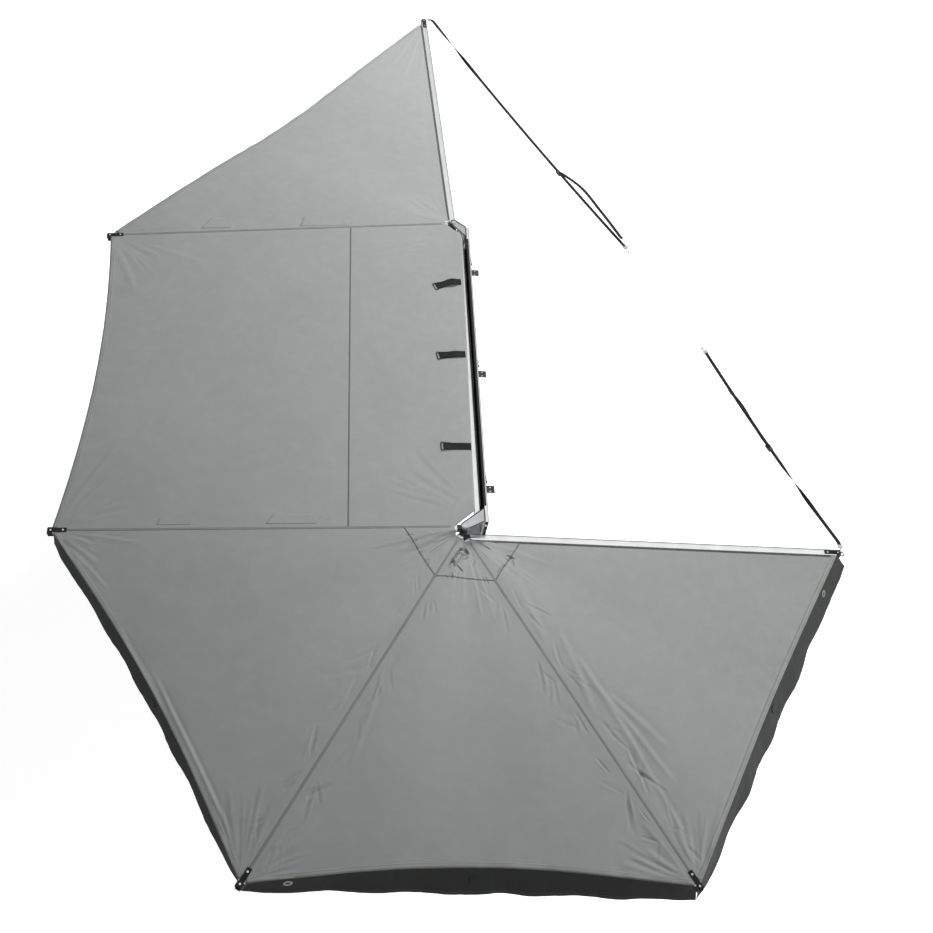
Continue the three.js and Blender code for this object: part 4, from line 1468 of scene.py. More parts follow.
@dataclass
class Canopy:
    """The whole canopy: five panels, the seams over the arms, hems, patch, tabs and pockets."""

    shop: Workshop
    rows: int = 250
    columns: int = 190
    seam_width: float = 0.016
    seam_points: int = 160
    hem_width: float = 0.026
    hem_points: int = 260
    bead_width: float = 0.012
    narrow_width: float = 0.009
    side_seam_at: float = -0.865
    patch_reach: float = 0.36
    tab_width: float = 0.028
    tab_root: float = 0.075
    tab_hang: float = 0.03
    rivet: tuple[float, float] = (0.0062, 0.0022)

    def __post_init__(self) -> None:
        """Sets out the panels."""
        arms = [side_at(f"arm_{number}") for number in (1, 2, 3, 4)]
        places = (("rear_left", 0.068), ("rear", 0.094), ("rear_right", 0.02))
        self.rear = [
            self._fan(place, REAR_HUB, arms[i], arms[i + 1], dip, 11 + i)
            for i, (place, dip) in enumerate(places)
        ]
        ends = side_at("front_side_arm"), side_at("front_arm")
        self.front = self._fan("front", FRONT_HUB, *ends, 0.055, 17)
        self.side = SidePanel(23)
        self._fold_rear()
        self._fold_front()
        self._fold_side()

    @staticmethod
    def _fan(
        place: str, hub: np.ndarray, first: Side, second: Side, dip: float, seed: int,
    ) -> SectorPanel:
        """Panel between two arms, named for its place."""
        name, node = f"canopy_cloth_{place}", f"canopy_{place}"
        return SectorPanel(name, node, hub, first, second, dip, seed)

    def _fold_rear(self) -> None:
        """Lays the rear panels' folds: from the hub and the arms' tips, at ties and at seams."""
        for i, panel in enumerate(self.rear):
            a, b = panel.first.angle, panel.second.angle
            panel.creases += fan_creases(
                REAR_HUB, (a + 0.1, b - 0.1), (0.16, 0.62), 6, 0.013, 0.0024, 40 + i)
            panel.creases += fan_creases(
                REAR_HUB, (a + 0.06, b - 0.06), (0.075, 0.3), 6, 0.0075, 0.0032, 50 + i)
            for k, side in enumerate((panel.first, panel.second)):
                tip = REAR_HUB + heading(side.angle) * CLOTH_REACH
                back = side.angle + math.pi
                turns = (back - 1.15, back - 0.08) if k == 0 else (back + 0.08, back + 1.15)
                strong = side.arm in ("arm_2", "arm_3")
                count, lift = (8, 0.0034) if strong else (6, 0.0028)
                panel.creases += fan_creases(
                    tip, turns, (0.08, 0.5), count, 0.0125, lift, 60 + 10 * i + k)
                if strong:
                    inward = 1.0 if k == 0 else -1.0
                    panel.creases += self._ties(REAR_HUB, side.angle, inward, 80 + 10 * i + k)
        left, middle, right = self.rear
        right.creases += self._long_folds()
        middle.creases += [Crease(*fold) for fold in REAR_HUB_FOLDS]
        right.creases += [Crease(*fold) for fold in RIGHT_HUB_FOLDS]
        self._gather()
        left.creases += [Crease(*fold) for fold in LEFT_FOLDS]
        middle.creases += [Crease(*fold) for fold in REAR_FOLDS]

    def _gather(self) -> None:
        """Lays short folds across the seam of the hub's patch."""
        rng = np.random.default_rng(171)
        for panel in self.rear:
            half_span = abs(panel.span) / 2
            for turn in rng.uniform(0.08, 2 * half_span - 0.08, 6):
                reach = self.patch_reach * math.cos(half_span) / math.cos(turn - half_span)
                angle = panel.first.angle + turn * np.sign(panel.span)
                way = heading(angle + rng.uniform(-0.3, 0.3))
                middle = REAR_HUB + heading(angle) * reach
                half = way * rng.uniform(0.015, 0.04)
                height = -rng.uniform(0.002, 0.005)
                panel.creases.append(Crease(tuple(middle - half), tuple(middle + half), 0.006, height))

    def _fold_front(self) -> None:
        """Lays the front panel's folds: from the arms' tips and from the hub."""
        panel = self.front
        for k, side in enumerate((panel.first, panel.second)):
            tip = FRONT_HUB + heading(side.angle) * CLOTH_REACH
            back = side.angle + math.pi
            turns = (back + 0.05, back + 0.6) if k == 0 else (back - 0.6, back - 0.05)
            panel.creases += fan_creases(tip, turns, (0.1, 0.8), 5, 0.014, 0.002, 120 + k)
        turns = (panel.second.angle + 0.1, panel.first.angle - 0.1)
        panel.creases += fan_creases(FRONT_HUB, turns, (0.12, 0.45), 5, 0.014, 0.0016, 131)

    def _fold_side(self) -> None:
        """Lays the side panel's folds: from its corners and from the beam."""
        panel = self.side
        for corner, turns, seed in (
            (panel.far[0], (0.15, 1.25), 141), (panel.far[1], (-1.25, -0.2), 142),
            (np.array([-0.12, -panel.HELD]), (2.1, 3.0), 143),
            (np.array([-0.12, panel.HELD]), (-3.0, -2.3), 144),
        ):
            panel.creases += fan_creases(corner, turns, (0.1, 0.7), 6, 0.015, 0.0024, seed)
        rng = np.random.default_rng(151)
        for y in np.linspace(-1.0, 1.05, 22):
            start = (-0.135, y + rng.uniform(-0.03, 0.03))
            end = (start[0] - rng.uniform(0.07, 0.2), start[1] - rng.uniform(0.03, 0.16))
            panel.creases.append(Crease(start, end, 0.011, rng.uniform(0.0008, 0.0026)))

    @staticmethod
    def _ties(hub: np.ndarray, angle: float, inward: float, seed: int) -> list[Crease]:
        """Folds beside an arm at its ties: they leave the arm at a slant and run on beside it.

        Args:
            hub: Plan place of the hub.
            angle: Plan angle of the arm.
            inward: 1 or -1, the way round to the cloth.
            seed: Number that fixes the draw.

        Returns:
            The folds.
        """
        rng = np.random.default_rng(seed)
        made = []
        run, side = heading(angle), heading(angle + inward * math.pi / 2)
        for reach, strength, count in TIES:
            for _ in range(count):
                root = hub + run * (reach + rng.uniform(-0.11, 0.11)) + side * rng.uniform(0.03, 0.07)
                back = rng.choice((0.0, math.pi), p=(0.6, 0.4))
                slant = rng.uniform(0.12, 0.75) * rng.choice((1.0, 1.0, 0.6))
                turn = angle - inward * slant + math.pi if back else angle + inward * slant
                end = root + heading(turn) * rng.uniform(0.07, 0.24) * (0.6 + 0.4 * strength)
                height = rng.uniform(0.0022, 0.0052) * (0.4 + 0.6 * strength)
                made.append(Crease(tuple(root), tuple(end), rng.uniform(0.006, 0.01), -height))
        return made

    @staticmethod
    def _long_folds() -> list[Crease]:
        """Long folds that run beside the third arm, drawn toward its tip."""
        made = []
        rng = np.random.default_rng(97)
        turn = math.radians(ARMS["arm_3"][1])
        run, across = heading(turn), heading(turn + math.pi / 2)
        for offset, near, far, lean in LONG_FOLDS:
            a = REAR_HUB + run * near + across * (offset + lean)
            b = REAR_HUB + run * far + across * (offset - lean * 0.4)
            width, height = rng.uniform(0.014, 0.022), rng.uniform(0.003, 0.0048)
            made.append(Crease(tuple(a), tuple(b), width, height))
        return made

    def build(self) -> None:
        """Makes the panels, then everything that is sewn on them."""
        rows, columns = crowded(self.rows, 0.6), crowded(self.columns)
        for panel in [*self.rear, self.front]:
            thing = panel.build(self.shop, rows, columns)
            span = abs(panel.span)
            log.info("%s: %d points", thing.name, len(thing.data.vertices))
        side = self.side.build(self.shop, np.linspace(0.0, 1.0, 225), crowded(215, 0.8))
        self._seams()
        self._hems()
        self._patch()
        self._pockets()
        self._tabs()

    def _seams(self) -> None:
        """Tapes over the arms, one down the side panel, and beads along the end arms, all darker than the
        canopy as painted shade along the seams and the arms' tracks.
        """
        count = self.seam_points
        line = np.linspace(0.01, 0.985, count)
        # The arm seam tapes are darker than the canopy: painted shade along the seams
        for panel in [*self.rear, self.front]:
            arm = panel.first.arm
            tape = panel.ribbon(
                self.shop, f"seam_tape_{arm}", line, np.zeros(count), self.seam_width, Finish.SEAM)
            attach(tape, arm)
        # The side seam is the darker tape: painted shade along the seam
        across = np.linspace(0.004, 0.996, count)
        out = self.side.out_at(self.side_seam_at, across)
        tape = self.side.ribbon(
            self.shop, "seam_tape_side", out, across, self.narrow_width, Finish.DARK_SEAM)
        self.side.carry(tape)
        # Dark beads at the end arms' tracks: a real edge bead, painted dark for the shadow in the track
        for panel, lean in ((self.rear[2], -0.0065), (self.front, 0.0065)):
            bead = panel.ribbon(
                self.shop, panel.named("edge_bead"), line, np.ones(count), self.bead_width,
                Finish.BEAD, lean=lean)
            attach(bead, panel.second.arm)

    def _hems(self) -> None:
        """Hems along the outer edges."""
        across = np.linspace(0.006, 0.994, self.hem_points)
        for panel in [*self.rear, self.front, self.side]:
            out = np.full(self.hem_points, 0.993 if panel is self.side else 0.9935)
            panel.carry(panel.ribbon(
                self.shop, panel.named("hem"), out, across, self.hem_width, Finish.HEM))

    def _patch(self) -> None:
        """Second layer of cloth round the rear hub, with its straight outer seam."""
        for panel in self.rear:
            turn = np.linspace(0.012, abs(panel.span) - 0.012, 150)
            chord = math.cos(panel.span / 2) / np.cos(turn - abs(panel.span) / 2)
            out = (self.patch_reach * chord - CLOTH_START) / CLOTH_RUN
            shrunk = 1.0 + (chord - 1.0) * (out**GROWTH) ** 2
            out = (self.patch_reach * chord / shrunk - CLOTH_START) / CLOTH_RUN
            across = np.clip(panel.across_of(out, turn), 0.0, 1.0)
            # The patch's seam is the darker tape: painted shade along the seam
            panel.carry(panel.ribbon(
                self.shop, panel.named("hub_patch_seam"), out, across, self.narrow_width,
                Finish.DARK_SEAM))
            share = np.linspace(0.06, 1.0, 110)[:, None]
            inner = np.clip(across[None, :] + 0 * share, 0.004, 0.996)
            panel.patch(self.shop, panel.named("hub_patch"), out[None, :] * share, inner)

    def _pockets(self) -> None:
        """Flat pockets beside arm 1 and the front side arm."""
        for panel, pockets in ((self.side, SIDE_POCKETS), (self.front, FRONT_POCKETS)):
            for name, (low, high, near, far) in pockets.items():
                out, across = np.broadcast_arrays(
                    np.linspace(low, high, 24)[:, None], np.linspace(near, far, 12)[None, :])
                panel.patch(self.shop, f"pocket_{name}", out, across, 0.0009)

    def _tabs(self) -> None:
        """Riveted webbing tabs that hold the canopy's corners to the arm tips."""
        for name, (hub, angle, level) in ARMS.items():
            run = heading(math.radians(angle))
            end = name in END_ARMS
            far = ARM_LENGTH + (0.0285 if end else 0.0365)
            reach = np.linspace(ARM_LENGTH - self.tab_root, far, 40)
            top = level_top(level) + (0.0013 if end else 0.0032)
            drop = (0.0 if end else self.tab_hang) * eased((reach - ARM_LENGTH - 0.029) / 0.008)
            line = np.stack([hub[0] + run[0] * reach, hub[1] + run[1] * reach, top - drop], 1)
            side = np.tile([-run[1], run[0], 0.0], (40, 1))
            tab = self.shop.swept(
                f"corner_tab_{name}", line, flat_section(self.tab_width, WEBBING), Finish.TAB,
                "webbing", side, np.cross(runs(line), side))
            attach(tab, name)
            for k, reach_of in enumerate((ARM_LENGTH - 0.055, ARM_LENGTH + 0.012)):
                place = np.array([*(hub + run * reach_of), top + 0.001])
                rivet = domed_disc(
                    self.shop, f"tab_rivet_{name}_{k + 1}", place, *self.rivet, Finish.STEEL,
                    "zinc_steel")
                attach(rivet, name)


def domed_disc(
    shop: Workshop, name: str, place: np.ndarray, radius: float, height: float, finish: Finish,
    slot: str,
) -> bpy.types.Object:
    """Low dome turned about Z.

    Args:
        shop: The workshop.
        name: Name of the piece.
        place: Middle of its underside.
        radius: Outer radius.
        height: Height at its top.
        finish: The piece's finish.
        slot: The record's material slot; not used.

    Returns:
        The object.
    """
    turn = np.linspace(0.0, math.tau, 28, endpoint=False)
    share = np.array([1.0, 1.0, 0.9, 0.65, 0.3])
    lift = np.array([0.0, 0.25, 0.6, 0.88, 0.99]) * height
    x, y = radius * share[:, None] * np.cos(turn), radius * share[:, None] * np.sin(turn)
    points = np.stack([x, y, lift[:, None] + 0 * turn], -1)
    index = np.arange(points.shape[0] * points.shape[1]).reshape(points.shape[:2])
    a, b = index[:-1], index[1:]
    faces = np.stack([a, np.roll(a, -1, 1), np.roll(b, -1, 1), b], -1).reshape(-1, 4).tolist()
    faces += [index[0, ::-1].tolist(), index[-1].tolist()]
    return shop.upright(shop.mesh(name, points.reshape(-1, 3) + place, faces, finish))


def ring_shape(radius: float, bore: float, height: float) -> tuple[np.ndarray, list]:
    """Flat rounded ring about Z: an ellipse between the bore and the radius, carried round.

    Args:
        radius: Outer radius.
        bore: Radius of the hole.
        height: Height of the ring.

    Returns:
        The points and the faces.
    """
    turn = np.linspace(0.0, math.tau, 32, endpoint=False)
    around = np.linspace(0.0, math.tau, 10, endpoint=False)
    r = (radius + bore) / 2 + (radius - bore) / 2 * np.cos(around)
    z = height / 2 * np.sin(around) + 0 * turn[:, None]
    points = np.stack([r * np.cos(turn)[:, None], r * np.sin(turn)[:, None], z], -1)
    index = np.arange(z.size).reshape(z.shape)
    a, b = index, np.roll(index, -1, 0)
    faces = np.stack([a, b, np.roll(b, -1, 1), np.roll(a, -1, 1)], -1).reshape(-1, 4)
    return points.reshape(-1, 3), faces.tolist()


@dataclass
class Valance:
    """Skirt that hangs from the outer edge of a rear panel.

    The flare is how far the lower edge stands out at both ends, the swell how far it does in the
    middle, and the corner an extra swell toward the second arm.
    """

    shop: Workshop
    panel: SectorPanel
    place: str
    seed: int
    flare: tuple[float, float]
    swell: float
    corner: float = 0.0
    drop: float = 0.15
    wave: float = 0.005
    folds: int = 5
    points: int = 460
    shut: float = 0.02
    shut_share: float = 0.04

    def at(self, down: np.ndarray, along: np.ndarray, shift: float) -> np.ndarray:
        """Points of the skirt: the panel's edge moved out by flare, swell and waves that grow as it
        falls, its lower corners drawn toward the arms.

        Args:
            down: Shares of the way down.
            along: Shares of the way along the edge, between the arms' shoulders.
            shift: Extra distance out, in metres.

        Returns:
            Points with three coordinates in the last place.
        """
        down, along = np.broadcast_arrays(down, along)
        one = np.ones_like(along)
        shoulder = math.asin(SHOULDER / CLOTH_REACH)
        turn = shoulder + (abs(self.panel.span) - 2 * shoulder) * along
        edge = self.panel.at(one, np.clip(self.panel.across_of(one, turn), 0.0, 1.0))
        near, far = eased(1.0 - along / self.shut_share), eased(1.0 - (1.0 - along) / self.shut_share)
        closing = self.shut * eased(down / 0.5) * (far - near) * np.sign(self.panel.span)
        away = unit(edge[..., :2] - self.panel.hub)
        rough = Unevenness(self.seed)
        swell = self.swell * 4.0 * along * (1.0 - along) + self.corner * eased((along - 0.86) / 0.14)
        phase = math.tau * self.folds * along + 0.8 * rough.at(along * 4.0, down, 1.0)
        swing = self.wave * np.sin(phase)
        swing = swing * down**1.3 + 0.005 * rough.at(along * 19.0, down * 1.5, 1.0) * down
        crimp = 0.0022 * rough.at(along * 70.0, down * 2.0, 1.0) * (0.2 + down) * (1.0 - 0.6 * down)
        flare = self.flare[0] + (self.flare[1] - self.flare[0]) * along
        out = 0.0004 + shift + (swell + flare) * down + swing + crimp
        z = edge[..., 2] - self.drop * down + 0.004 * rough.at(along * 9.0, down, 1.0) * down
        x = edge[..., 0] + away[..., 0] * out - away[..., 1] * closing
        return np.stack([x, edge[..., 1] + away[..., 1] * out + away[..., 0] * closing, z], -1)

    def build(self) -> None:
        """Makes the skirt, its hem and binding, and passes them to the fan's bend, which bakes their
        placement.
        """
        rows, columns = np.linspace(0.0, 1.0, 34), np.linspace(0.0, 1.0, self.points)
        over = self.at(rows[:, None], columns[None, :], 0.001)
        under = self.at(rows[:, None], columns[None, :], 0.0)
        length = 2 * CLOTH_REACH * math.sin(abs(self.panel.span) / 2)
        flat = paired(columns[None, :] * length, rows[:, None] * self.drop)
        crumple = np.clip(0.15 + 0.5 * rows[:, None] + 0 * columns[None, :], 0.0, 1.0)
        skirt = self.shop.shell(
            f"valance_cloth_{self.place}", over, under, Finish.VALANCE, "valance_fabric", flat, crumple)
        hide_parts(f"valance_{self.place}")
        self.panel.fan.bend(skirt)
        for name, low, high, lift, finish, slot in (
            ("hem", 0.87, 1.0, 0.0017, Finish.DARK_HEM, "valance_fabric"),
            ("binding", 0.0, 0.05, 0.0022, Finish.BINDING, "canopy_fabric"),
        ):
            band = np.linspace(low, high, 5)
            bow = lift * np.array([0.55, 1.0, 1.0, 1.0, 0.55])
            down = [np.full(self.points, share) for share in band]
            over = np.stack([self.at(d, columns, 0.001 + b - 0.0009) for d, b in zip(down, bow)])
            under = np.stack([self.at(d, columns, -0.0006) for d in down])
            flat = paired(columns[None, :] * length, (band[:, None] - (low + high) / 2) * self.drop)
            self.panel.fan.bend(
                self.shop.shell(f"valance_{name}_{self.place}", over, under, finish, slot, flat))


# Webbing


def curve_line(points: np.ndarray, count: int) -> np.ndarray:
    """Points spaced evenly along a line of points.

    Args:
        points: The line.
        count: Number of points in the result.

    Returns:
        The new points.
    """
    along = distances(points)
    even = np.linspace(0.0, along[-1], count)
    return np.stack([np.interp(even, along, points[:, k]) for k in range(3)], 1)


@dataclass
class Guy:
    """Webbing guy from an end arm's eye to a far hook, with a cam buckle and a doubled tail."""

    shop: Workshop
    name: str
    arm: str
    pull_side: float
    end: tuple[float, float, float]
    sag: float
    buckle_at: float
    joint: str
    twist: tuple[float, float]
    loose: float
    width: float = 0.025
    grip: float = 0.0069
    shank: float = 0.0343
    tail_share: float = 0.3

    def eye(self) -> tuple[np.ndarray, np.ndarray]:
        """Middle of the arm's eye, and the unit plan direction square to the arm toward the guy."""
        hub, angle, level = ARMS[self.arm]
        turn = math.radians(angle)
        square = heading(turn + self.pull_side * math.pi / 2)
        place = hub + heading(turn) * (ARM_LENGTH + EYE_PAST) + square * EYE_ASIDE
        return np.array([*place, level_top(level) - ARM_HEIGHT / 2]), np.array([*square, 0.0])

    def line(self) -> np.ndarray:
        """Centre line: a bend of twice the width out of the hook, then a straight run less the sag."""
        eye, square = self.eye()
        start = eye + square * self.shank + self.grip * UP
        bend = start + square * self.width
        end = np.array(self.end)
        pull = unit(end - bend)
        t = np.linspace(0.0, 1.0, 8)[:-1, None]
        out = bend + pull * self.width
        lead = start * (1 - t) ** 2 + 2 * bend * t * (1 - t) + out * t**2
        s = np.linspace(0.0, 1.0, 60)[:, None]
        free = out + (end - out) * s - 4 * self.sag * UP * s * (1 - s)
        return np.concatenate([lead, free])

    def webbing(
        self, part: str, line: np.ndarray, side: np.ndarray, up: np.ndarray,
    ) -> bpy.types.Object:
        """Piece of the guy's webbing along a line."""
        section = flat_section(self.width, WEBBING)
        return self.shop.swept(
            f"{self.name}_guy_{part}", line, section, Finish.WEBBING, "webbing", side, up)

    def build(self) -> None:
        line = curve_line(self.line(), 220)
        side, up = self.twisted(*turned_frame(line))
        strap = self.webbing("webbing", line, side, up)
        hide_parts(f"{self.name}_guy_strap")
        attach(strap, "rail")
        pieces = [*self._buckle(line, side, up), self._tail(line, side, up)]
        for thing in [strap, *pieces, *self._hooks(line)]:
            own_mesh(thing)

    def twisted(self, side: np.ndarray, up: np.ndarray) -> tuple[np.ndarray, np.ndarray]:
        """Turns the webbing about its line: a half turn, eased over its twisted part.

        Args:
            side: Unit vectors to the side.
            up: Unit vectors up.

        Returns:
            Both, turned.
        """
        share = (np.linspace(0.0, 1.0, len(side)) - self.twist[0]) / (self.twist[1] - self.twist[0])
        turn = math.pi * eased(share)[:, None]
        return np.cos(turn) * side + np.sin(turn) * up, np.cos(turn) * up - np.sin(turn) * side

    def _hook(self, name: str, point: np.ndarray, forward: np.ndarray) -> list[bpy.types.Object]:
        """Bent wire hook round a point, and the plate that clamps the webbing to its shank.

        Args:
            name: Start of the pieces' names.
            point: Middle of the bar that the hook goes round.
            forward: Level unit vector from the bar to the webbing.

        Returns:
            The hook and the plate.
        """
        turn = np.linspace(math.pi / 2, 3 * math.pi / 2, 18)
        shank, point_out = np.linspace(0.034, 0.002, 8), np.linspace(0.002, 0.0085, 4)
        lip = -self.grip + 0.0016 * np.linspace(0.0, 1.0, 4) ** 2
        out = np.concatenate([shank, self.grip * np.cos(turn), point_out])
        rise = np.concatenate([np.full(8, self.grip), self.grip * np.sin(turn), lip])
        line = point + out[:, None] * forward + rise[:, None] * UP
        side = np.cross(forward, UP)
        hook = self.shop.swept(
            f"{name}_wire", line, round_section(0.003, 14), Finish.STEEL, "zinc_steel", side,
            np.cross(side, runs(line)))
        points, faces = block((0.024, 0.031, 0.0085), 0.0016)
        base = np.stack([forward, side, UP], 1)
        placed = (points + [0.0385, 0.0, self.grip]) @ base.T + point
        plate = self.shop.solid(f"{name}_clamp", placed, faces, Finish.STEEL, "zinc_steel")
        for thing in (hook, plate):
            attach(thing, "rail")
        return [hook, plate]

    def _hooks(self, line: np.ndarray) -> list[bpy.types.Object]:
        """Makes the hooks at both ends.

        Args:
            line: Centre line of the webbing.

        Returns:
            The pieces of the hook at the arm's eye.
        """
        made = self._hook(f"{self.name}_guy_eye_hook", *self.eye())
        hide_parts(f"{self.name}_guy_hook")
        back = unit((line[0] - line[-1]) * [1.0, 1.0, 0.0])
        bar = np.array(self.end) - back * self.shank - self.grip * UP
        far = self._hook(f"{self.name}_guy_far_hook", bar, back)
        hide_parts(f"{self.name}_guy_rack_hook")
        return made

    def _buckle(self, line: np.ndarray, side: np.ndarray, up: np.ndarray) -> list[bpy.types.Object]:
        """Cam buckle: a body across the strap and a lever on it.

        Args:
            line: Centre line of the webbing.
            side: Unit vectors to its side.
            up: Unit vectors up from it.

        Returns:
            The body and the lever.
        """
        k = int(self.buckle_at * (len(line) - 1))
        run = np.cross(up[k], side[k])
        base = np.stack([run, side[k], up[k]], 1)
        made = []
        for part, size, shift, finish, slot in (
            ("body", (0.052, 0.034, 0.012), (0.0, 0.0, 0.0045), Finish.POWDER, "black_steel"),
            ("lever", (0.034, 0.026, 0.005), (0.004, 0.0, 0.0125), Finish.STEEL, "zinc_steel"),
        ):
            points, faces = block(size, 0.0022)
            placed = (points + np.array(shift)) @ base.T + line[k]
            thing = self.shop.solid(f"{self.name}_guy_buckle_{part}", placed, faces, finish, slot)
            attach(thing, "rail")
            made.append(thing)
        return made

    def _tail(self, line: np.ndarray, side: np.ndarray, up: np.ndarray) -> bpy.types.Object:
        """Doubled webbing below the strap from the buckle on, with loose bows and a free end.

        Args:
            line: Centre line of the webbing.
            side: Unit vectors to its side.
            up: Unit vectors up from it.

        Returns:
            The tail.
        """
        k = int(self.buckle_at * (len(line) - 1))
        last = int(min(len(line) - 6, k + self.tail_share * len(line)))
        part = line[k:last]
        t = np.linspace(0.0, 1.0, len(part))
        drop = 0.004 + 0.016 * np.sin(math.pi * t) ** 2 * (0.6 + 0.4 * np.sin(9.0 * t)) + 0.012 * t**3
        aside = 0.006 * np.sin(7.0 * t) + 0.012 * t + self.loose * np.sin(math.pi * t**0.8)
        tail = part - up[k:last] * drop[:, None] + side[k:last] * aside[:, None]
        thing = self.webbing("tail", tail, *turned_frame(tail))
        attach(thing, "rail")
        return thing


@dataclass
class StorageStrap:
    """Wide strap that ties the folded arms. It lies on the canopy, looped round its ring."""

    shop: Workshop
    place: str
    bow: float
    shift: float
    root: float = -0.1148
    height: float = 0.1318
    length: float = 0.1655
    bar_half: tuple[float, float] = (0.0035, 0.002)

    def build(self) -> None:
        """Makes the strap with its bows, the loop round the ring's bar, and the ring."""
        reach, lift = (half + 0.0014 for half in self.bar_half)
        t = np.linspace(0.0, 1.0, 60)
        x, y = self.root - self.length * t, STRAPS[self.place] + self.shift * t**1.4
        z = self.height + 2 * lift * eased((t - 0.6) / 0.4)
        z = z + self.bow * np.sin(math.pi * t) ** 2 * (1.0 + 0.5 * np.sin(6.0 * t))
        top = np.stack([x, y, z], 1)
        away = unit((top[-1] - top[-2]) * [1.0, 1.0, 0.0])
        turn = np.linspace(math.pi / 2, -math.pi / 2, 16)[1:]
        bar = top[-1] - lift * UP
        loop = bar + reach * np.cos(turn)[:, None] * away + lift * np.sin(turn)[:, None] * UP
        back = loop[-1] - np.linspace(0.003, 0.032, 8)[:, None] * away
        line = np.concatenate([top, loop, back])
        side = unit(np.cross(UP, np.gradient(top, axis=0)))
        side = np.concatenate([side, np.tile(side[-1], (len(line) - len(top), 1))])
        strap = self.shop.swept(
            f"storage_strap_webbing_{self.place}", line, flat_section(STRAP_WIDTH, WEBBING),
            Finish.TAB, "webbing", side, np.cross(runs(line), side))
        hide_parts(f"storage_strap_{self.place}")
        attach(strap, "rail")
        self._ring(bar, away, side[-1])

    def _ring(self, bar: np.ndarray, away: np.ndarray, side: np.ndarray) -> None:
        """Rounded rectangular ring, one of its long bars in the strap's loop.

        Args:
            bar: Middle of that bar.
            away: Unit direction from it to the other long bar.
            side: Unit direction along the bars.
        """
        corner, half, depth = 0.006, 0.028, 0.021
        turn = np.linspace(0.0, math.pi / 2, 7)
        arc = corner * np.stack([np.cos(turn), np.sin(turn)], 1)
        quarter = np.array([half - corner, depth / 2 - corner]) + arc
        path = np.concatenate([quarter, quarter[::-1] * [-1, 1], -quarter, quarter[::-1] * [1, -1]])
        middle = bar + away * depth / 2
        line = middle + path[:, :1] * side + path[:, 1:] * (away + [0.0, 0.0, -0.08])
        section = round_section(1.0, 14) * self.bar_half
        ring = self.shop.swept(
            f"storage_ring_bar_{self.place}", line, section, Finish.PLASTIC, "black_plastic",
            np.cross(runs(line, True), UP), UP, ring=True)
        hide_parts(f"storage_ring_{self.place}")
        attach(ring, "rail")


@dataclass
class TravelCover:
    """Opened cover folded down between the rail and the beam: a soft U with a zip on its lip."""

    shop: Workshop
    half_length: float = 1.098
    points: int = 420
    thick: float = 0.0024
    flap: float = 0.0135
    flap_share: float = 0.14
    right: float = -0.0577
    left: float = -0.0812
    low: float = 0.0202
    radius: float = 0.0117
    high: float = 0.1304
    lip: float = 0.118
    zip_size: tuple[float, float] = (0.0042, 0.0032)

    def at(self, y: np.ndarray, share: np.ndarray, inset: float) -> np.ndarray:
        """Points of the sheet: over the rail's top, down its side, round the bottom and up the
        beam's side, with waves along it.

        Args:
            y: Places along the rail.
            share: Shares along the profile, from the rail's side to the lip.
            inset: Distance in from the sheet's outer face.

        Returns:
            Points with three coordinates in the last place.
        """
        y, share = np.broadcast_arrays(y, share)
        rough = Unevenness(301)
        lip = self.lip - 0.012 * eased(0.5 + 0.9 * rough.at(y, 0 * y, 0.31))
        lip = lip - 0.003 * rough.at(y + 2.0, 0 * y, 0.06)
        right, left = self.right - inset, self.left + inset
        foot = self.low + self.radius
        down = share * (2.6 + self.flap_share) - self.flap_share
        over = np.clip(-down / self.flap_share, 0.0, 1.0)
        bend = np.clip((down - 1.0) / 0.5, 0.0, 1.0) * math.pi
        up = np.clip((down - 1.5) / 1.1, 0.0, 1.0)
        x = (right + left) / 2 + (right - left) / 2 * np.cos(bend)
        x = x + (self.flap + inset) * over
        z = self.high + (foot - self.high) * np.clip(down, 0.0, 1.0)
        z = z + inset * eased(over * 8.0)
        z = z - (self.radius - inset) * np.sin(bend)
        z = np.where(down > 1.5, foot + (lip - foot) * up, z)
        wave = 0.5 + 0.5 * rough.at(y, share * 0.35, 0.085)
        fold = 0.5 + 0.5 * rough.at(y + 1.3 * share, share * 0.2, 0.03)
        x = x - np.cos(bend) * (0.0032 * wave + 0.0012 * fold) * eased(down * 5.0)
        z = z + 0.002 * wave * np.sin(bend)
        curl = eased((up - 0.86) / 0.14)
        return np.stack([x + 0.0035 * curl * wave, y, z], -1)

    def build(self) -> None:
        """Makes the sheet and its zip."""
        y = np.linspace(-self.half_length, self.half_length, self.points)[:, None]
        share = np.linspace(0.0, 1.0, 64)[None, :]
        over, under = self.at(y, share, 0.0), self.at(y, share, self.thick)
        flat = paired(y, share * 0.275)
        crumple = np.full(over.shape[:2], 0.5)
        cover = self.shop.shell(
            "travel_cover_sheet", over, under, Finish.COVER, "cover_pvc", flat, crumple)
        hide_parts("travel_cover")
        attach(cover, "rail")
        line = self.at(y[:, 0], np.ones(self.points), self.thick / 2) + 0.0012 * UP
        zip_row = self.shop.swept(
            "travel_cover_zip", line, flat_section(*self.zip_size), Finish.ZIP, "cover_pvc",
            np.array([1.0, 0.0, 0.0]), UP)
        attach(zip_row, "rail")


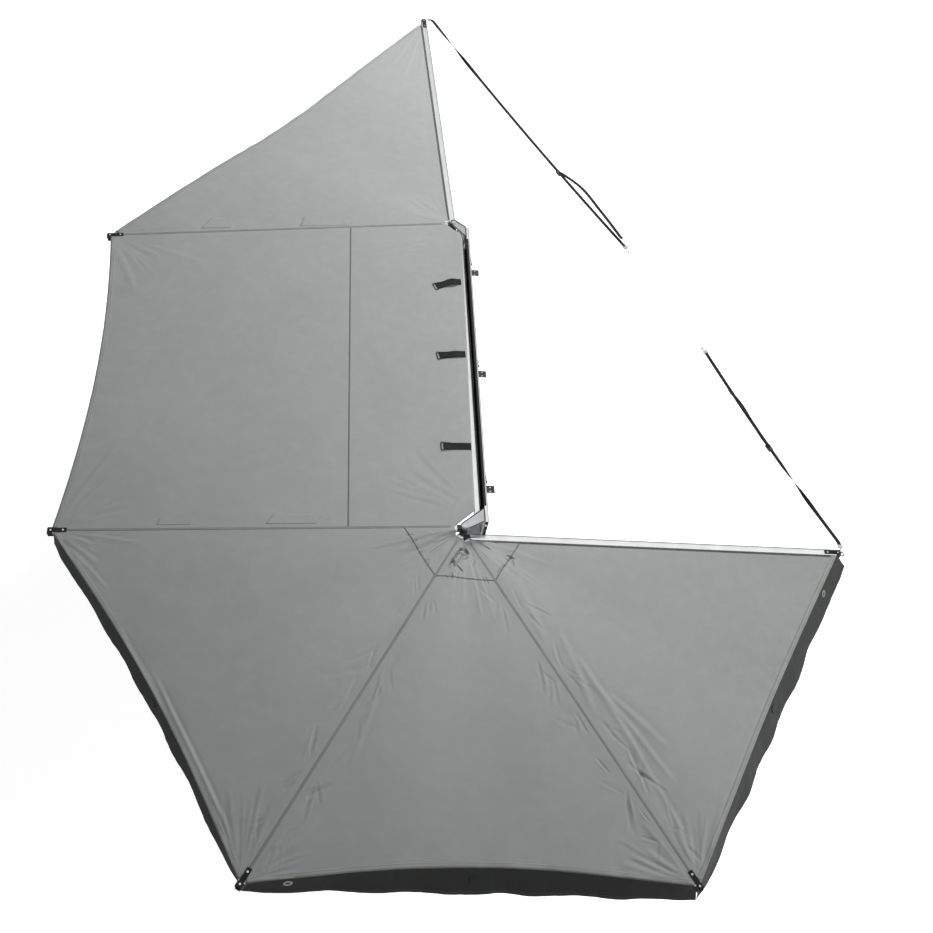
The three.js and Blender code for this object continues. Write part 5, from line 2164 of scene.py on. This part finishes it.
@dataclass
class Fastenings:
    """Grommets and webbing toggles on the valances."""

    shop: Workshop

    def placed(
        self, name: str, valance: Valance, along: float, down: float, points: np.ndarray,
        faces: list,
        finish: Finish, slot: str, smooth: bool = True,
    ) -> None:
        """Sets a small piece flat on a valance.

        Args:
            name: Name of the piece.
            valance: The valance.
            along: Share of the way along its edge.
            down: Share of the way down.
            points: Points about the piece's own middle, with its face to +Z.
            faces: Lists of point numbers.
            finish: The piece's finish.
            slot: The record's material slot; not used.
            smooth: Whether faces are shaded smooth.
        """
        d = np.array([down, down, min(1.0, down + 0.05)])
        a = np.array([along, along + 0.006, along])
        here, beside, below = valance.at(d, a, 0.001)
        run = unit(beside - here)
        face = unit(np.cross(unit(below - here), run))
        if face[:2] @ (here[:2] - valance.panel.hub) < 0:
            face = -face
        base = np.stack([run, np.cross(face, run), face], 1)
        thing = self.shop.solid(name, points @ base.T + here, faces, finish, slot, smooth)
        valance.panel.fan.bend(thing, rigid=True)

    def build(self, left: Valance, middle: Valance, right: Valance) -> None:
        """Places two grommets and three toggles.

        Args:
            left: The rear left valance.
            middle: The rear valance.
            right: The rear right valance.
        """
        points, faces = ring_shape(0.024, 0.0105, 0.005)
        for name, valance, along, down in (
            ("rear", middle, 0.075, 0.36), ("rear_right", right, 0.895, 0.34),
        ):
            self.placed(
                f"grommet_{name}", valance, along, down, points + 0.0004 * UP, faces, Finish.STEEL,
                "zinc_steel")
        points, faces = block((0.036, 0.042, 0.004), 0.0012)
        for name, valance, along, down in (
            ("rear_left", left, 0.52, 0.5), ("rear", middle, 0.5, 0.5), ("rear_right", right, 0.5, 0.3),
        ):
            self.placed(
                f"toggle_{name}", valance, along, down, points + 0.0022 * UP, faces,
                Finish.PLASTIC, "black_plastic", smooth=False)


# Rigid parts


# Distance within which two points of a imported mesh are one
SAME_POINT = 1e-6


@dataclass
class RigidParts:
    """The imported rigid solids, each copied with its edges rounded."""

    shop: Workshop
    hard_edge: float = 0.6
    round_from: float = 35.0

    @staticmethod
    def finish_of(node: str) -> tuple[Finish, str, float]:
        """Chooses a node's dress.

        Args:
            node: Name of the node.

        Returns:
            Its finish, slot and edge radius.
        """
        if node.endswith("_tube"):
            return Finish.EXTRUSION_X, "aluminium_extrusion", 0.0006
        if node.endswith(("_knuckle", "_tip")):
            return Finish.PLASTIC, "black_plastic", 0.0015
        if "_leg_" in node:
            return Finish.LEG, "leg_aluminium", 0.0004
        if node in ("back_rail", "canopy_beam"):
            return Finish.EXTRUSION_Y, "aluminium_extrusion", 0.0006
        if node.endswith("_hub_bracket"):
            return Finish.HUB, "hub_aluminium", 0.0008
        if node.startswith("mount_bracket"):
            return Finish.POWDER, "black_steel", 0.0012
        return Finish.STEEL, "zinc_steel", 0.0005

    def build(self) -> None:
        """Rounds and dresses every rigid node that no other piece stands for."""
        for node, solid in frame["nodes"].items():
            if solid.hide_render:
                continue
            finish, slot, radius = self.finish_of(node)
            work = bmesh.new()
            work.from_mesh(solid.data)
            bmesh.ops.remove_doubles(work, verts=work.verts, dist=SAME_POINT)
            bmesh.ops.dissolve_limit(work, angle_limit=0.002, verts=work.verts, edges=work.edges)
            for edge in work.edges:
                edge.smooth = edge.calc_face_angle(0.0) < self.hard_edge
            data = bpy.data.meshes.new(f"{node}_part")
            work.to_mesh(data)
            work.free()
            data.polygons.foreach_set("use_smooth", np.full(len(data.polygons), True))
            data.materials.append(self.shop.materials[finish])
            self._mark_across(node, data)
            thing = bpy.data.objects.new(f"{node}_part", data)
            bpy.context.scene.collection.objects.link(thing)
            bevel = thing.modifiers.new("rounded edges", "BEVEL")
            bevel.width, bevel.segments, bevel.limit_method = radius, 2, "ANGLE"
            bevel.angle_limit = math.radians(self.round_from)
            bevel.use_clamp_overlap = True
            bevel.harden_normals = True
            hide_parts(node)
            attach(thing, solid["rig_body"])
            self.shop.made.append(thing)
        log.info("rigid parts dressed")

    @staticmethod
    def _mark_across(node: str, data: bpy.types.Mesh) -> None:
        """Marks how far across a tube, the beam or the rail each point lies, from -1 to 1.

        Args:
            node: Name of the node.
            data: Its mesh.
        """
        points = points_of(data)
        if node == "canopy_beam":
            across = (points[:, 0] - BEAM_MIDDLE) / BEAM_HALF
        elif node == "back_rail":
            across = (points[:, 0] - RAIL_MIDDLE) / RAIL_HALF
        elif node.endswith("_tube"):
            hub, angle, _ = ARMS[node.removesuffix("_tube")]
            across = (points[:, :2] - hub) @ heading(math.radians(angle + 90.0)) / ARM_HALF
        else:
            return
        mark(data, "across", across)


@dataclass
class HubGuards:
    """Black edge guards on the rims of the hub brackets' upper plates."""

    shop: Workshop
    bead: float = 0.0026

    @staticmethod
    def rim(node: str) -> np.ndarray:
        """Points of a bracket's top rim.

        Args:
            node: Name of the bracket's solid.

        Returns:
            The points in order, counter-clockwise from above, evenly spaced.
        """
        work = bmesh.new()
        work.from_mesh(frame["nodes"][node].data)
        bmesh.ops.remove_doubles(work, verts=work.verts, dist=SAME_POINT)
        top = max(vertex.co.z for vertex in work.verts)
        # A list keeps the mesh's order, where a set's would give the bead another start each run
        faces = [
            face for face in work.faces
            if face.normal.z > 0.99 and face.calc_center_median().z > top - 1e-4
        ]
        inside = set(faces)
        after = {
            loop.vert: loop.link_loop_next.vert for face in faces for loop in face.loops
            if not inside.issuperset(loop.edge.link_faces)
        }
        rims = []
        while after:
            start, point = after.popitem()
            path = [start.co.copy()]
            while point is not start:
                path.append(point.co.copy())
                point = after.pop(point)
            rims.append(np.array([*path, path[0]]))
        work.free()
        longest = max(rims, key=lambda path: distances(path)[-1])
        return curve_line(longest, 181)[:-1]

    def build(self) -> None:
        """Makes a bead round each rim."""
        for place in ("rear", "front"):
            line = self.rim(f"{place}_hub_bracket")
            out = np.cross(runs(line, True), UP)
            line = line - out * self.bead + UP * self.bead
            guard = self.shop.swept(
                f"hub_edge_guard_{place}", line, round_section(self.bead, 12), Finish.PLASTIC,
                "black_plastic", out, UP, ring=True)
            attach(guard, "rail")


# Stage


@dataclass
class Stage:
    """Camera, floor and light."""

    focal_pixels: float = 1176.27
    frame_pixels: float = 933.0
    tilt: float = 34.639
    yaw: float = -13.119
    roll: float = 12.482
    place: tuple[float, float, float] = (-1.07494, -4.78595, 6.02332)
    floor_half: float = 60.0
    floor_height: float = -2.085
    floor_glow: float = 0.8
    ambient: float = 0.2
    sky_from: tuple[float, float] = (0.1, 0.75)
    sky_glow: tuple[float, float] = (0.2, 0.98)

    def camera(self) -> None:
        """Sets the camera where the photograph was taken from."""
        data = bpy.data.cameras.new("camera")
        data.sensor_width = 36.0
        data.lens = self.focal_pixels * data.sensor_width / self.frame_pixels
        data.clip_end = 200.0
        camera = bpy.data.objects.new("camera", data)
        turn = (
            Matrix.Rotation(math.radians(self.yaw), 4, "Z")
            @ Matrix.Rotation(math.radians(self.tilt), 4, "X")
            @ Matrix.Rotation(math.radians(self.roll), 4, "Z")
        )
        camera.matrix_world = Matrix.Translation(Vector(self.place)) @ turn
        bpy.context.scene.collection.objects.link(camera)
        bpy.context.scene.camera = camera

    def floor(self) -> None:
        """Wide pale floor that shows white to the camera, less its shadows."""
        corners = ((-1, -1), (1, -1), (1, 1), (-1, 1))
        points = [(x * self.floor_half, y * self.floor_half, self.floor_height) for x, y in corners]
        data = bpy.data.meshes.new("floor")
        data.from_pydata(points, [], [(0, 1, 2, 3)])
        material = bpy.data.materials.new("white floor")
        material.use_nodes = True
        net = Net(material.node_tree)
        shader = net.feed(
            net.tree.nodes["Principled BSDF"], {"Base Color": rgba(0.8), "Roughness": 0.9}).outputs[0]
        seen = net.add("LightPath").outputs["Is Camera Ray"]
        glow = net.add("Emission", {"Color": rgba(1.0), "Strength": self.floor_glow}).outputs[0]
        both = net.add("AddShader", {0: shader, 1: glow}).outputs[0]
        pick = net.add("MixShader", {0: seen, 1: shader, 2: both}).outputs[0]
        under = net.add("NewGeometry").outputs["Backfacing"]
        clear = net.add("BsdfTransparent").outputs[0]
        ends = net.add("MixShader", {0: under, 1: pick, 2: clear}).outputs[0]
        net.feed(net.tree.nodes["Material Output"], {0: ends})
        data.materials.append(material)
        floor = bpy.data.objects.new("floor", data)
        bpy.context.scene.collection.objects.link(floor)

    def light(self) -> None:
        """Even sky, a large soft lamp ahead, one over the hub and a low one at the right of the rear."""
        world = bpy.data.worlds.new("studio")
        world.use_nodes = True
        net = Net(world.node_tree)
        rays = net.add("LightPath")
        high = net.add("SeparateXYZ", {"Vector": net.add("TexCoord").outputs["Generated"]}).outputs[2]
        sky = net.span(high, *self.sky_from, self.sky_glow)
        glossy = net.times(rays.outputs["Is Glossy Ray"], sky)
        dull = net.math("SUBTRACT", 1.0, rays.outputs["Is Glossy Ray"])
        lit = net.math("ADD", glossy, net.times(dull, self.ambient))
        strength = net.math("MAXIMUM", lit, rays.outputs["Is Camera Ray"])
        net.feed(world.node_tree.nodes["Background"], {0: rgba(1.0), 1: strength})
        bpy.context.scene.world = world
        for name, place, target, size, power in (
            ("front lamp", (1.2, 4.2, 4.6), (-0.9, 1.0, 0.0), 3.2, 445.0),
            ("hub lamp", (0.5, -0.9, 2.7), (-0.1, -1.4, 0.0), 1.2, 28.0),
            ("right lamp", (4.6, -3.6, 1.1), (1.7, -2.5, -0.05), 1.8, 115.0),
        ):
            data = bpy.data.lights.new(name, "AREA")
            data.shape, data.size, data.energy = "DISK", size, power
            lamp = bpy.data.objects.new(name, data)
            lamp.location = place
            aim = Vector(target) - Vector(place)
            lamp.rotation_mode = "QUATERNION"
            lamp.rotation_quaternion = aim.to_track_quat("-Z", "Y")
            lamp.visible_glossy = False
            bpy.context.scene.collection.objects.link(lamp)


def main() -> None:
    """Builds the camera, guys, stage, cloth, cover, straps and rigid parts, in that order."""
    logging.basicConfig(level=logging.INFO, format="%(name)s %(message)s")
    bpy.context.scene.view_settings.view_transform = "Standard"
    stage = Stage()
    stage.camera()
    shop = Workshop()
    Guy(
        shop, "rear", "arm_4", pull_side=1.0, end=(1.53, 0.19, 0.105), sag=0.025, buckle_at=0.5,
        joint="rear_fold", twist=(0.12, 0.44), loose=0.0,
    ).build()
    Guy(
        shop, "front", "front_arm", pull_side=-1.0, end=(1.115, 1.165, 0.06), sag=0.03,
        buckle_at=0.69, joint="front_fold", twist=(0.03, 0.3), loose=0.05,
    ).build()
    stage.floor()
    stage.light()
    canopy = Canopy(shop)
    canopy.build()
    left, middle, right = canopy.rear
    skirts = [
        Valance(shop, left, "rear_left", 201, flare=(0.02, 0.01), swell=0.024),
        Valance(shop, middle, "rear", 202, flare=(0.01, 0.05), swell=0.066),
        Valance(
            shop, right, "rear_right", 203, flare=(0.058, 0.098), swell=0.03, corner=0.03, wave=0.008),
    ]
    for skirt in skirts:
        skirt.build()
    Fastenings(shop).build(*skirts)
    TravelCover(shop).build()
    for place, bow, shift in (
        ("rear", 0.001, -0.004), ("middle", 0.006, -0.02), ("front", 0.014, -0.05),
    ):
        StorageStrap(shop, place, bow, shift).build()
    HubGuards(shop).build()
    RigidParts(shop).build()
    for thing in shop.made:
        log.info("made %s", thing.name)


if __name__ == "__main__":
    main()
